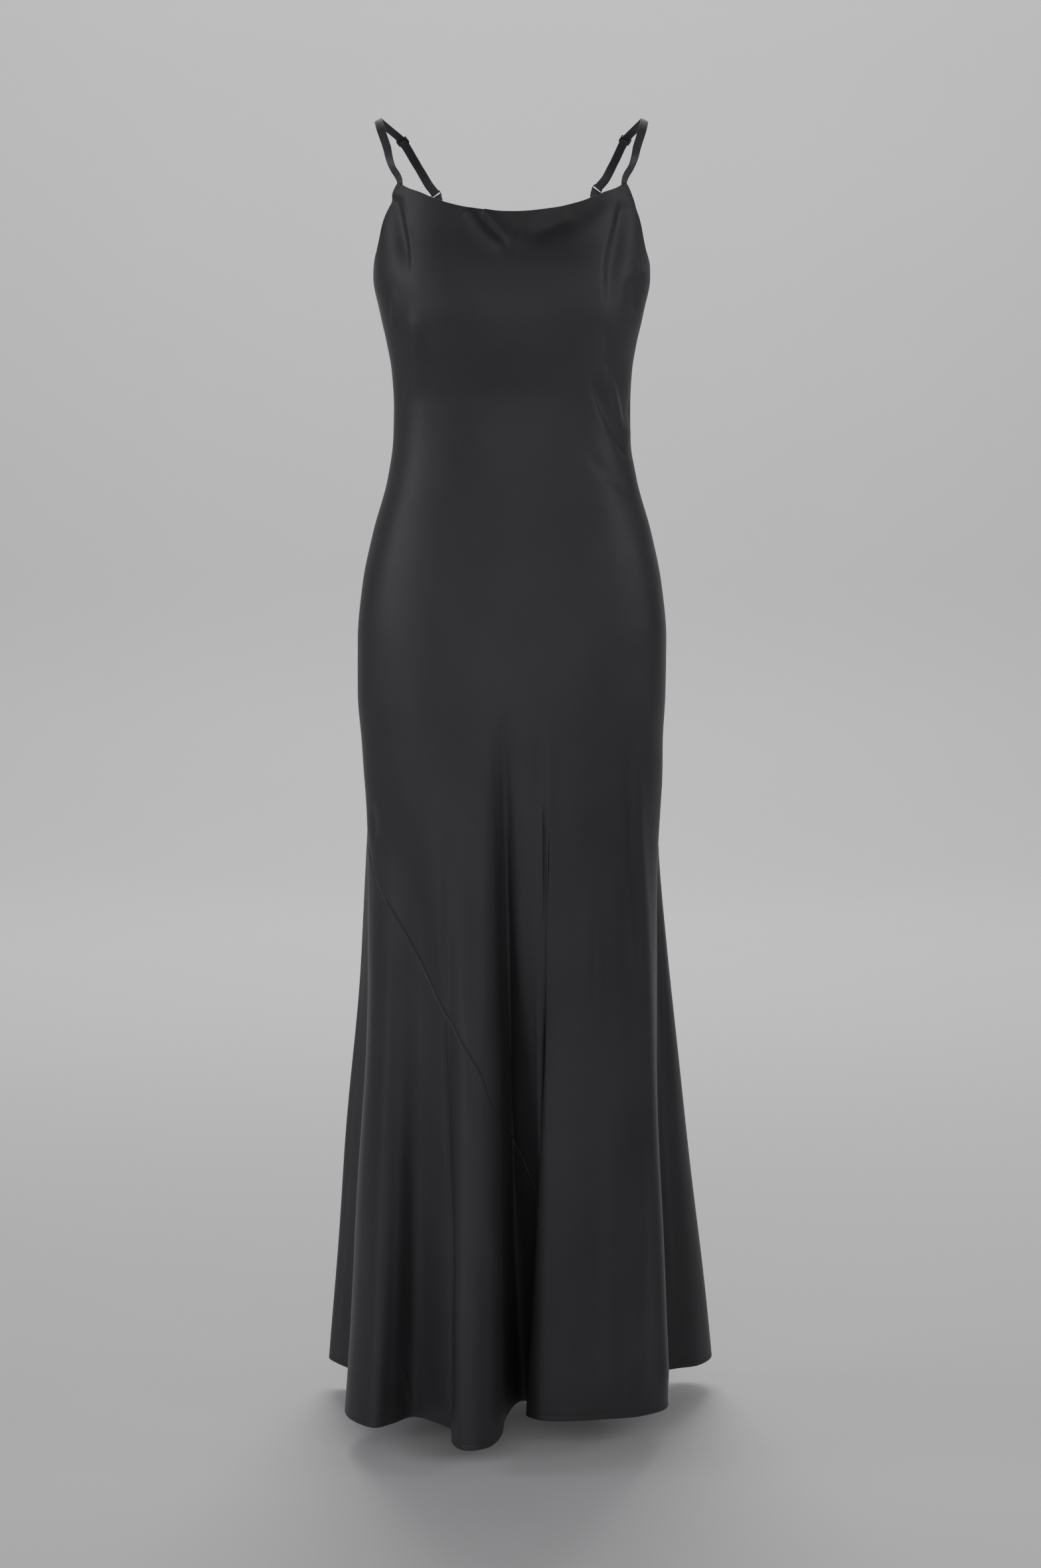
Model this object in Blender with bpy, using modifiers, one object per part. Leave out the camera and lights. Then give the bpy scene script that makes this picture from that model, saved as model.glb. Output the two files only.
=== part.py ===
"""Long slip dress, metres, +Z up, front towards -Y, left of the viewer at -X.

The two shoulder straps top out at z = 0 and the hem is at HEM_Z. Every cloth panel is cut
from one master surface: a body ring that changes with height, plus hanging folds that grow
from where each one starts down to the hem. Each panel is its own closed wall of WALL.
"""

import bpy
import numpy as np

for old in list(bpy.data.objects):
    bpy.data.objects.remove(old, do_unlink=True)

# Driving dimensions, metres.
WALL = 0.0012  # panel cloth
HEM_Z = -1.388  # mean height of the hem
SEAM_GAP = 0.0004  # between two panels along a seam
FOLD_GAP = 0.0014  # the same where the seam runs into a sharp fold
RING_POWER = 2.2  # squareness of the body ring, 2 is an ellipse
COLUMNS_PER_FOLD = {"front": 3, "back": 2}  # mesh columns between two fold lines
CLOSE_FOLDS = 0.0145  # fold lines nearer than this turn take two
UPPER_ROWS, LOWER_ROWS = 19, 12  # mesh rows above and below the level of the diagonal seam
TOP_CROWDING = 1.15  # power that draws the upper rows towards the top edge
NEAR_END = 0.12  # a column this far to each side of the inset's end, in fold lines
SHARP_FOLDS = 3.5  # as many fold lines before the inset's end take FOLD_GAP
STEEPEST_SEAM = 3.0  # slope beyond which the seam's gap grows no more

STRAP_WIDTH, STRAP_THICK = 0.0090, 0.0010
BAR_RADIUS = 0.0006  # slider and ring wire
CLEAR = 0.0003  # between strap, bars and panels
STRAP_OFFSET = BAR_RADIUS + CLEAR + STRAP_THICK / 2  # strap middle from the middle line
RING_LENGTH = 0.0048  # between the two bars of a ring, along the strap
SLIDER_LENGTH = 0.0082
STRAP_TUCK = 0.010  # strap and tab ends on the panels
RISE_START, RISE_LENGTH = 0.008, 0.030  # past the front edge, where a strap comes outwards
SLIDER_CLEAR = 0.008  # strap rows keep this far in front of the slider's middle bar
LOOP_LEAD = 0.003  # last straight row before a half turn round a ring bar
LOOP_LAP = 0.002  # an inner layer ends this far past a bar
RING_SETBACK = 0.0050  # rear edge of the dress to the ring's rear bar
RING_CORNER = 0.0008
LINE_POINTS, LINE_SMOOTHING = 900, 60  # points on a strap's middle line and smoothing passes
BAR_STEP = 0.8  # height of the slider's upper bars, in wire widths

# Body ring by height: reach to the left, right, front and back of the middle.
BODY = (
    # z, left, right, front, back
    (-0.050, 0.1330, 0.1330, 0.0940, 0.1100),
    (-0.077, 0.1375, 0.1375, 0.0990, 0.1120),
    (-0.120, 0.1440, 0.1430, 0.1060, 0.1135),
    (-0.165, 0.1465, 0.1450, 0.1170, 0.1125),
    (-0.200, 0.1400, 0.1388, 0.1200, 0.1100),
    (-0.236, 0.1320, 0.1306, 0.1145, 0.1060),
    (-0.264, 0.1272, 0.1264, 0.1070, 0.1010),
    (-0.300, 0.1250, 0.1250, 0.0985, 0.0955),
    (-0.334, 0.1258, 0.1254, 0.0965, 0.0950),
    (-0.376, 0.1318, 0.1317, 0.0985, 0.1000),
    (-0.433, 0.1476, 0.1475, 0.1040, 0.1110),
    (-0.489, 0.1592, 0.1590, 0.1090, 0.1205),
    (-0.546, 0.1644, 0.1643, 0.1115, 0.1260),
    (-0.603, 0.1647, 0.1636, 0.1120, 0.1265),
    (-0.660, 0.1605, 0.1606, 0.1110, 0.1240),
    (-0.748, 0.1565, 0.1600, 0.1090, 0.1215),
    (-0.900, 0.1585, 0.1660, 0.1040, 0.1350),
    (-1.150, 0.1730, 0.1800, 0.1000, 0.1600),
    (-1.420, 0.1900, 0.1960, 0.0960, 0.1880),
)

# Fold lines round the skirt, from the left side seam over the front to the right one and back
# over the rear. turn is the place on the body ring (0 left, 0.25 front, 0.5 right, 0.75 back).
# Each line leaves the ring at start_z and reaches hem_x, hem_y at the hem.
FOLDS = (
    # turn, start_z, growth, hem_x, hem_y, hem_dz
    (0.0000, -0.690, 1.00, -0.1600, 0.0750, 0.000),  # left side seam, in a valley
    (0.0300, -0.690, 1.05, -0.1810, 0.0120, 0.000),  # left flute, outer edge
    (0.0600, -0.690, 1.10, -0.1770, -0.0380, 0.000),
    (0.0896, -0.690, 1.20, -0.1500, -0.0740, 0.000),
    (0.1180, -0.690, 1.20, -0.1290, -0.0610, 0.000),
    (0.1480, -0.720, 1.20, -0.1060, -0.0350, 0.000),  # valley in the left flute
    (0.1740, -0.860, 1.00, -0.0740, -0.0620, -0.001),
    (0.1815, -0.900, 0.90, -0.0570, -0.0820, -0.004),  # tuck behind the middle flute
    (0.1860, -0.780, 1.00, -0.0640, -0.0960, -0.007),  # middle flute, left edge
    (0.1980, -0.740, 1.10, -0.0560, -0.1220, -0.008),
    (0.2110, -0.700, 1.10, -0.0400, -0.1270, -0.008),
    (0.2230, -0.670, 1.00, -0.0215, -0.1120, -0.008),
    (0.2305, -0.650, 0.90, -0.0110, -0.0810, -0.006),  # middle flute, right edge
    (0.2375, -0.630, 1.00, -0.0070, -0.0320, -0.003),
    (0.2445, -0.620, 1.10, 0.0040, 0.0120, 0.000),  # centre valley
    (0.2530, -0.630, 1.55, 0.0165, 0.0220, 0.000),
    (0.2690, -0.640, 1.80, 0.0300, -0.0080, 0.000),  # the inset ends here
    (0.2750, -0.640, 1.80, 0.0340, -0.0180, 0.000),  # lip of the slit
    (0.2790, -0.640, 2.00, 0.0430, 0.0040, 0.002),  # slit beside the right flute
    (0.2820, -0.640, 1.80, 0.0420, -0.0220, 0.004),
    (0.2860, -0.640, 1.60, 0.0160, -0.0470, 0.007),  # right flute, left edge
    (0.2980, -0.640, 1.40, 0.0290, -0.0720, 0.008),
    (0.3160, -0.640, 1.20, 0.0600, -0.0750, 0.008),
    (0.3450, -0.640, 1.20, 0.1000, -0.0620, 0.006),
    (0.3780, -0.640, 1.20, 0.1390, -0.0430, 0.003),
    (0.4104, -0.640, 1.10, 0.1680, -0.0060, 0.000),  # right flute, outer edge
    (0.4550, -0.680, 1.00, 0.1660, 0.0420, 0.000),
    (0.5000, -0.700, 1.00, 0.1520, 0.0900, 0.000),  # right side seam, in a valley
    (0.5120, -0.700, 1.00, 0.1640, 0.1280, 0.000),
    (0.5220, -0.700, 1.05, 0.1860, 0.1450, 0.000),  # right rear flute
    (0.5330, -0.700, 1.05, 0.2120, 0.1580, 0.000),
    (0.5450, -0.700, 1.05, 0.2290, 0.1880, 0.000),
    (0.5620, -0.700, 1.05, 0.2280, 0.2220, 0.000),
    (0.5850, -0.700, 1.10, 0.2040, 0.2440, 0.000),
    (0.6150, -0.720, 1.10, 0.1720, 0.2320, 0.000),
    (0.6430, -0.740, 1.10, 0.1440, 0.1940, 0.000),  # rear valley, right
    (0.6700, -0.740, 1.10, 0.1120, 0.1960, 0.000),
    (0.6960, -0.720, 1.10, 0.0880, 0.2300, 0.000),
    (0.7240, -0.700, 1.10, 0.0500, 0.2480, 0.000),
    (0.7500, -0.700, 1.10, 0.0160, 0.2300, 0.000),
    (0.7720, -0.740, 1.10, -0.0060, 0.1940, 0.000),  # rear valley, middle
    (0.7950, -0.740, 1.10, -0.0360, 0.1900, 0.000),
    (0.8190, -0.720, 1.10, -0.0640, 0.2220, 0.000),
    (0.8433, -0.700, 1.10, -0.1000, 0.2440, 0.000),
    (0.8720, -0.700, 1.10, -0.1340, 0.2260, 0.000),
    (0.9000, -0.720, 1.10, -0.1560, 0.2060, 0.000),  # rear valley, left
    (0.9250, -0.720, 1.10, -0.1840, 0.2160, 0.000),
    (0.9450, -0.700, 0.75, -0.2080, 0.2160, 0.000),  # left rear flute
    (0.9620, -0.700, 0.62, -0.2130, 0.1900, 0.000),
    (0.9760, -0.700, 0.62, -0.2020, 0.1680, 0.000),
    (0.9880, -0.700, 0.75, -0.1780, 0.1320, 0.000),
)
LEFT_SEAM, INSET_END, RIGHT_SEAM, ALL_ROUND = 0, 16, 27, len(FOLDS)

# Top edges, by the same turn: front armholes and neckline, rear armholes and rear edge.
FRONT_TOP = (
    # turn, z
    (0.0000, -0.1650), (0.0080, -0.1575), (0.0250, -0.1480), (0.0416, -0.1390),
    (0.0520, -0.1260), (0.0575, -0.1142), (0.0650, -0.1014), (0.0896, -0.0720),
    (0.0960, -0.0735), (0.1137, -0.0785), (0.1347, -0.0832),
    (0.1547, -0.0892), (0.1764, -0.0952), (0.2058, -0.1010), (0.2500, -0.1053),
    (0.2942, -0.1010), (0.3236, -0.0952), (0.3453, -0.0892), (0.3653, -0.0832),
    (0.3863, -0.0785), (0.4040, -0.0735), (0.4104, -0.0720), (0.4350, -0.1014), (0.4425, -0.1142),
    (0.4480, -0.1260), (0.4584, -0.1390), (0.4750, -0.1480), (0.4920, -0.1575),
    (0.5000, -0.1650),
)
REAR_TOP = (
    # turn, z
    (0.5000, -0.1650), (0.5130, -0.1560), (0.5300, -0.1470), (0.5600, -0.1280), (0.6000, -0.0990),
    (0.6430, -0.0705), (0.6750, -0.0880), (0.7200, -0.1030), (0.7500, -0.1070),
    (0.7900, -0.1030), (0.8200, -0.0900), (0.8433, -0.0765), (0.8850, -0.1010),
    (0.9400, -0.1280), (0.9700, -0.1470), (0.9870, -0.1560), (1.0000, -0.1650),
)
# Level where the upper rows end: along the diagonal seam as far as the centre valley.
SEAM_LEVEL = (
    # turn, z
    (0.0000, -0.7520), (0.0350, -0.7700), (0.0896, -0.8200), (0.1180, -0.8450),
    (0.1500, -0.8850), (0.1760, -0.9280), (0.1940, -0.9560), (0.2185, -1.0000),
    (0.2230, -1.0200), (0.2375, -1.0600), (0.2530, -1.0960), (0.2690, -1.1350), (0.2800, -1.1600),
    (0.3200, -1.1600), (0.5000, -1.1200), (0.7500, -0.9300), (1.0000, -0.7520),
)

# Middle line of each strap between its front and rear panels, from front to rear.
STRAPS = {
    # side: (front fold line, rear fold line, points x, y, z)
    "left": (3, 43, (
        (-0.1243, -0.0545, -0.0560), (-0.1291, -0.0425, -0.0365), (-0.1372, -0.0225, -0.0130),
        (-0.1404, 0.0020, -0.0022), (-0.1300, 0.0300, -0.0088), (-0.1169, 0.0500, -0.0186),
        (-0.1056, 0.0735, -0.0352), (-0.0915, 0.0885, -0.0580),
    )),
    "right": (25, 35, (
        (0.1243, -0.0545, -0.0545), (0.1290, -0.0425, -0.0360), (0.1362, -0.0225, -0.0130),
        (0.1388, 0.0020, -0.0022), (0.1310, 0.0290, -0.0078), (0.1203, 0.0500, -0.0172),
        (0.1115, 0.0725, -0.0335), (0.1010, 0.0860, -0.0530),
    )),
}
SHOULDER_MIDDLE = (0.090, 0.020, -0.100)  # strap faces point away from here, on each side
SLIDER_POINT = 5  # the strap point above that holds the slider


def bend(xs, ys, x):
    """Smooth curve through the points that never overshoots them."""
    xs, ys = np.asarray(xs, float), np.asarray(ys, float)
    step = np.diff(xs)
    slope = np.diff(ys) / step
    inner = np.where(
        slope[1:] * slope[:-1] > 0,
        2 * slope[1:] * slope[:-1] / np.where(slope[1:] + slope[:-1] == 0, 1, slope[1:] + slope[:-1]),
        0,
    )
    m = np.concatenate([slope[:1], inner, slope[-1:]])
    i = np.clip(np.searchsorted(xs, x, side="right") - 1, 0, len(step) - 1)
    t = (x - xs[i]) / step[i]
    a, b = ys[i], ys[i + 1]
    h = step[i]
    return (
        a * (2 * t**3 - 3 * t**2 + 1) + b * (3 * t**2 - 2 * t**3)
        + h * m[i] * (t**3 - 2 * t**2 + t) + h * m[i + 1] * (t**3 - t**2)
    )


def body_ring(turn, z):
    table = np.array(BODY)[::-1]
    left, right, front, rear = (bend(table[:, 0], table[:, k], z) for k in (1, 2, 3, 4))
    angle = 2 * np.pi * turn
    c, s = np.cos(angle), np.sin(angle)
    power = 2 / RING_POWER
    x = -np.sign(c) * np.abs(c) ** power * np.where(c > 0, left, right)
    y = -np.sign(s) * np.abs(s) ** power * np.where(s > 0, front, rear)
    return np.stack([x, y], axis=-1)


FOLD = np.array(FOLDS)
HEM_PULL = FOLD[:, 3:5] - body_ring(FOLD[:, 0], np.full(len(FOLD), HEM_Z))


def turn_at(line):
    """Turn at a place counted in fold lines, so 2.5 is half way from line 2 to line 3."""
    count = np.arange(-1, ALL_ROUND + 2)
    turns = FOLD[count % ALL_ROUND, 0] + count // ALL_ROUND
    return bend(count, turns, line)


def between(values, line):
    """Round spline through one value for each fold line, by height too if values has one."""
    i = np.floor(line).astype(int)
    t = (line - i)[..., None]
    p = [values(np.mod(i + k, ALL_ROUND)) for k in (-1, 0, 1, 2)]
    return 0.5 * (
        2 * p[1] + (p[2] - p[0]) * t + (2 * p[0] - 5 * p[1] + 4 * p[2] - p[3]) * t**2
        + (3 * p[1] - p[0] - 3 * p[2] + p[3]) * t**3
    )


def surface(line, z):
    """Master surface, the middle of the cloth, at fold line `line` and height z."""
    line, z = np.broadcast_arrays(np.asarray(line, float), np.asarray(z, float))

    def pull(k):
        start, growth = FOLD[k, 1], FOLD[k, 2]
        share = np.clip((start - z) / (start - HEM_Z), 0, None) ** growth
        return share[..., None] * HEM_PULL[k]

    xy = body_ring(turn_at(line), z) + between(pull, line)
    return np.concatenate([xy, z[..., None]], axis=-1)


def hem_at(line):
    return HEM_Z + between(lambda k: FOLD[k, 5:6], np.asarray(line, float))[..., 0]


def along(table, line):
    table = np.array(table)
    return bend(table[:, 0], table[:, 1], turn_at(line))


def unit(v):
    return v / np.linalg.norm(v, axis=-1, keepdims=True)


def material(name, colour, roughness, metallic=0.0):
    made = bpy.data.materials.new(name)
    made.use_nodes = True
    shader = made.node_tree.nodes["Principled BSDF"]
    shader.inputs["Base Color"].default_value = (*colour, 1)
    shader.inputs["Roughness"].default_value = roughness
    shader.inputs["Metallic"].default_value = metallic
    return made


def solid(name, points, faces, look):
    mesh = bpy.data.meshes.new(name)
    mesh.from_pydata([tuple(map(float, p)) for p in points], [], faces)
    mesh.validate()
    mesh.materials.append(look)
    obj = bpy.data.objects.new(name, mesh)
    bpy.context.scene.collection.objects.link(obj)
    return obj


def panel(name, lines, top, middle, bottom, keep, look, edges=(0.0, 0.0)):
    """One cloth panel. lines are its columns; rows run from top over middle to bottom.

    keep(row, column) says which cells belong to it. edges moves each end column inwards.
    """
    share = [np.linspace(0, 1, n + 1) for n in (UPPER_ROWS, LOWER_ROWS)]
    upper = top + (middle - top) * (share[0] ** TOP_CROWDING)[:, None]
    lower = middle + (bottom - middle) * share[1][1:, None]
    z = np.concatenate([upper, lower])
    line = np.broadcast_to(lines, z.shape)
    points = surface(line, z)
    across = unit(surface(line + 0.01, z) - surface(line - 0.01, z))
    points[:, 0] += across[:, 0] * edges[0]
    points[:, -1] -= across[:, -1] * edges[1]
    if name == "front_panel":
        column = list(lines).index(INSET_END)
        points[:, column] += across[:, column] * FOLD_GAP / 2
    rows, columns = z.shape
    faces = [
        (r * columns + c, (r + 1) * columns + c, (r + 1) * columns + c + 1, r * columns + c + 1)
        for r in range(rows - 1)
        for c in range(columns - 1)
        if keep(r, lines[c])
    ]
    used = sorted({v for face in faces for v in face})
    place = {v: n for n, v in enumerate(used)}
    flat = points.reshape(-1, 3)[used]
    obj = solid(name, flat, [tuple(place[v] for v in face) for face in faces], look)
    wall = obj.modifiers.new("wall", "SOLIDIFY")
    wall.thickness = WALL
    wall.offset = 0
    return obj


def columns(first, last, per_fold):
    """Columns of a panel: fewer between close fold lines, and one close to the inset's end."""
    beside = (INSET_END - NEAR_END, INSET_END + NEAR_END)
    found = [float(last)] + [line for line in beside if first < line < last]
    for k in range(first, last):
        gap = FOLD[(k + 1) % ALL_ROUND, 0] % 1 - FOLD[k, 0]
        n = 2 if 0 < gap < CLOSE_FOLDS else per_fold
        found += [k + i / n for i in range(n)]
    return np.sort(found)


def seam_slack(line, z):
    """How far up or down a cut moves so that the gap across a sloping seam stays the same."""
    step = surface(line + 0.02, np.interp(line + 0.02, line, z)) - surface(line, z)
    slope = np.abs(step[:, 2]) / np.maximum(np.linalg.norm(step[:, :2], axis=1), 1e-4)
    gap = np.where(line > INSET_END - SHARP_FOLDS, FOLD_GAP, SEAM_GAP)
    return gap / 2 * np.sqrt(1 + np.minimum(slope, STEEPEST_SEAM) ** 2)


def make_panels(look):
    lines = columns(LEFT_SEAM, RIGHT_SEAM, COLUMNS_PER_FOLD["front"])
    seam = along(SEAM_LEVEL, lines)
    left_part = lines < INSET_END
    slack = np.where(left_part, seam_slack(lines, seam), 0)
    panel(
        "front_panel", lines, along(FRONT_TOP, lines), seam + slack, hem_at(lines),
        lambda r, line: r < UPPER_ROWS or line >= INSET_END, look, (SEAM_GAP / 2, SEAM_GAP / 2),
    )
    lines = columns(LEFT_SEAM, INSET_END, COLUMNS_PER_FOLD["front"])
    seam = along(SEAM_LEVEL, lines)
    slack = seam_slack(lines, seam)
    slack[-1] = slack[-2]
    panel(
        "skirt_inset", lines, along(FRONT_TOP, lines), seam - slack, hem_at(lines),
        lambda r, line: r >= UPPER_ROWS, look, (SEAM_GAP / 2, FOLD_GAP / 2),
    )
    lines = columns(RIGHT_SEAM, ALL_ROUND, COLUMNS_PER_FOLD["back"])
    panel(
        "back_panel", lines, along(REAR_TOP, lines), along(SEAM_LEVEL, lines), hem_at(lines),
        lambda r, line: True, look, (SEAM_GAP / 2, SEAM_GAP / 2),
    )


class StrapLine:
    """Middle line of a strap with its facing, read by distance from the front end."""

    def __init__(self, side):
        front, rear, points = STRAPS[side]
        sign = -1 if side == "left" else 1
        knots, faces = [], []
        for line, top, drops in (
            (front, FRONT_TOP, (2 * STRAP_TUCK, STRAP_TUCK, 0)),
            (rear, REAR_TOP, (0, STRAP_TUCK, 2 * STRAP_TUCK)),
        ):
            edge = float(along(top, float(line)))
            ends = [surface(float(line), edge - d) for d in drops]
            across = surface(line + 0.05, edge) - surface(line - 0.05, edge)
            out = unit(np.cross(across, ends[0] - ends[-1]))
            if np.dot(out[:2], ends[0][:2]) < 0:
                out = -out
            if line == rear:
                middle = np.array(SHOULDER_MIDDLE) * (sign, 1, 1)
                for p in np.array(points):
                    knots.append(p)
                    faces.append(unit(p - middle))
                faces[3], faces[-1] = faces[2], out  # no twist next to either panel
            knots += ends
            faces += [out] * len(ends)
        knots, faces = np.array(knots), np.array(faces)
        steps = np.linalg.norm(np.diff(knots, axis=0), axis=1)
        reach = np.concatenate([[0], np.cumsum(steps)])
        dense = np.linspace(0, reach[-1], LINE_POINTS)
        line = np.stack([bend(reach, knots[:, k], dense) for k in range(3)], axis=1)
        for _ in range(LINE_SMOOTHING):
            line[1:-1] += 0.25 * (line[:-2] - 2 * line[1:-1] + line[2:])
        self.at = np.concatenate([[0], np.cumsum(np.linalg.norm(np.diff(line, axis=0), axis=1))])
        self.line = line
        self.along = unit(np.gradient(line, axis=0))
        out = np.stack([np.interp(dense, reach, faces[:, k]) for k in range(3)], axis=1)
        out -= self.along * (out * self.along).sum(axis=1, keepdims=True)
        self.out = unit(out)
        self.front_edge = float(np.interp(reach[2], dense, self.at))
        self.rear_edge = float(np.interp(reach[-3], dense, self.at))
        self.slider = float(np.interp(reach[3 + SLIDER_POINT], dense, self.at))
        self.rear_bar = self.rear_edge - RING_SETBACK
        self.front_bar = self.rear_bar - RING_LENGTH

    def frame(self, s):
        s = np.asarray(s, float)
        read = lambda rows: np.stack([np.interp(s, self.at, rows[:, k]) for k in range(3)], axis=-1)
        out, forward = unit(read(self.out)), unit(read(self.along))
        return read(self.line), forward, out, np.cross(forward, out)

    def place(self, s, across, height):
        line, _, out, side = self.frame(s)
        return line + side * across + out * height


def half_turn(s, sign, steps=8):
    """Half circle round a bar at distance s, from the outer layer to the inner one."""
    angle = np.linspace(0, np.pi, steps + 1)
    return [(s + sign * STRAP_OFFSET * np.sin(a), STRAP_OFFSET * np.cos(a)) for a in angle]


def ribbon(name, strap, path, look):
    """Flat band along path, a list of (distance, height), on the strap's middle line."""
    path = np.array(path)
    line, forward, out, side = strap.frame(path[:, 0])
    middle = line + out * path[:, 1:]
    step = unit(np.gradient(path, axis=0))
    face = out * step[:, :1] - forward * step[:, 1:]
    half_w, half_t = side * STRAP_WIDTH / 2, face * STRAP_THICK / 2
    corners = np.stack(
        [middle - half_w - half_t, middle + half_w - half_t, middle + half_w + half_t, middle - half_w + half_t],
        axis=1,
    ).reshape(-1, 3)
    n = len(path)
    faces = [(0, 1, 2, 3), tuple(4 * n - k for k in (1, 2, 3, 4))]
    for i in range(n - 1):
        for k in range(4):
            a, b = 4 * i + k, 4 * i + (k + 1) % 4
            faces.append((a, a + 4, b + 4, b))
    return solid(name, corners, faces, look)


def make_strap(side, cloth, metal):
    strap = StrapLine(side)
    high = STRAP_OFFSET
    tuck = strap.front_edge - STRAP_TUCK
    under = -(WALL / 2 + 2 * CLEAR + STRAP_THICK / 2)
    rise = strap.front_edge + RISE_START
    over = np.linspace(rise, strap.slider - SLIDER_CLEAR, 26)
    lift = bend([0, RISE_LENGTH, 10 * RISE_LENGTH], [under, high, high], over - rise)
    path = [(s, under) for s in (tuck, rise - 1.5 * RISE_START, rise - RISE_START / 2)]
    path += zip(over, lift)
    path += [(s, high) for s in np.linspace(strap.slider - SLIDER_CLEAR / 2, strap.front_bar - LOOP_LEAD, 12)]
    path += half_turn(strap.front_bar, 1)
    path += [(s, -high) for s in np.linspace(strap.front_bar - LOOP_LEAD, strap.slider + LOOP_LAP, 11)]
    quarter = np.linspace(0, np.pi / 2, 5)
    path += [(strap.slider - high * np.sin(a), -high * np.cos(a)) for a in quarter]
    ribbon(f"strap_{side}", strap, path, cloth)

    end = strap.rear_edge + STRAP_TUCK
    down = np.linspace(strap.rear_bar + LOOP_LAP, end, 6)
    path = [(s, high) for s in down[::-1]] + half_turn(strap.rear_bar, -1) + [(s, -high) for s in down]
    ribbon(f"strap_tab_{side}", strap, path, cloth)

    # Ring: round wire on a rounded rectangle, its two long bars inside the strap and the tab.
    corner, middle = RING_CORNER, (strap.front_bar + strap.rear_bar) / 2
    reach = STRAP_WIDTH / 2 + CLEAR + corner
    track = []
    for sx, sy, begin in ((1, 1, 0), (-1, 1, 90), (-1, -1, 180), (1, -1, 270)):
        for turn in (0, 30, 60, 90):
            angle = np.radians(begin + turn)
            track.append((
                middle + sx * (RING_LENGTH / 2 - corner) + corner * np.cos(angle),
                sy * (reach - corner) + corner * np.sin(angle),
            ))
    track = np.array(track)
    flat = strap.place(track[:, 0], track[:, 1:], np.zeros((len(track), 1)))
    curve = bpy.data.curves.new(f"ring_{side}", "CURVE")
    curve.dimensions = "3D"
    wire = curve.splines.new("POLY")
    wire.points.add(len(flat) - 1)
    for point, place in zip(wire.points, flat):
        point.co = (*map(float, place), 1)
    wire.use_cyclic_u = True
    curve.bevel_depth = BAR_RADIUS
    curve.bevel_resolution = 2
    curve.materials.append(metal)
    ring = bpy.data.objects.new(f"ring_{side}", curve)
    bpy.context.scene.collection.objects.link(ring)

    # Slider: two rails, an outer bar at each end above the strap and a middle bar under it.
    thick = 2 * BAR_RADIUS
    half = SLIDER_LENGTH / 2
    inner = STRAP_WIDTH / 2 + CLEAR
    bar_under = high + STRAP_THICK / 2 + CLEAR
    marks = (
        strap.slider + np.array([-half, thick - half, -thick / 2, thick / 2, half - thick, half]),
        np.array([-inner - thick, -inner, inner, inner + thick]),
        np.array([-BAR_RADIUS, BAR_RADIUS, bar_under, bar_under + thick * BAR_STEP]),
    )
    filled = {(i, j, k) for i in range(5) for j in (0, 2) for k in range(3)}
    filled |= {(0, 1, 2), (4, 1, 2), (2, 1, 0)}
    blocks(f"slider_{side}", strap, marks, filled, metal)


def blocks(name, strap, marks, filled, look):
    """Closed solid made of the filled cells of a small grid bent onto the strap's line."""
    sides = (
        ((-1, 0, 0), ((0, 0, 0), (0, 0, 1), (0, 1, 1), (0, 1, 0))),
        ((1, 0, 0), ((1, 0, 0), (1, 1, 0), (1, 1, 1), (1, 0, 1))),
        ((0, -1, 0), ((0, 0, 0), (1, 0, 0), (1, 0, 1), (0, 0, 1))),
        ((0, 1, 0), ((0, 1, 0), (0, 1, 1), (1, 1, 1), (1, 1, 0))),
        ((0, 0, -1), ((0, 0, 0), (0, 1, 0), (1, 1, 0), (1, 0, 0))),
        ((0, 0, 1), ((0, 0, 1), (1, 0, 1), (1, 1, 1), (0, 1, 1))),
    )
    places, points, faces = {}, [], []
    for cell in sorted(filled):
        for step, ring in sides:
            if tuple(a + b for a, b in zip(cell, step)) in filled:
                continue
            face = []
            for offset in ring:
                key = tuple(a + b for a, b in zip(cell, offset))
                if key not in places:
                    places[key] = len(points)
                    s, across, height = (marks[a][key[a]] for a in range(3))
                    points.append(strap.place(s, across, height))
                face.append(places[key])
            faces.append(tuple(face))
    obj = solid(name, points, faces, look)
    volume = sum(
        np.dot(points[f[0]], np.cross(points[f[i]], points[f[i + 1]]))
        for f in faces for i in (1, 2)
    )
    if volume < 0:
        obj.data.flip_normals()
    return obj


SATIN = material("charcoal_satin", (0.035, 0.035, 0.038), 0.42)
STRAP_SATIN = material("strap_satin", (0.030, 0.030, 0.033), 0.45)
METAL = material("dark_slider_metal", (0.050, 0.050, 0.055), 0.35, 0.8)

make_panels(SATIN)
for side in STRAPS:
    make_strap(side, STRAP_SATIN, METAL)
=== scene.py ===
"""Looks of a long charcoal satin slip dress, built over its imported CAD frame, in metres.

Each panel is one layer of cloth on the same master surface as its solid, with turned edges,
seams that roll inwards, soft creases and stitched hems. Front is towards -Y, left is -X.
"""

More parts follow.
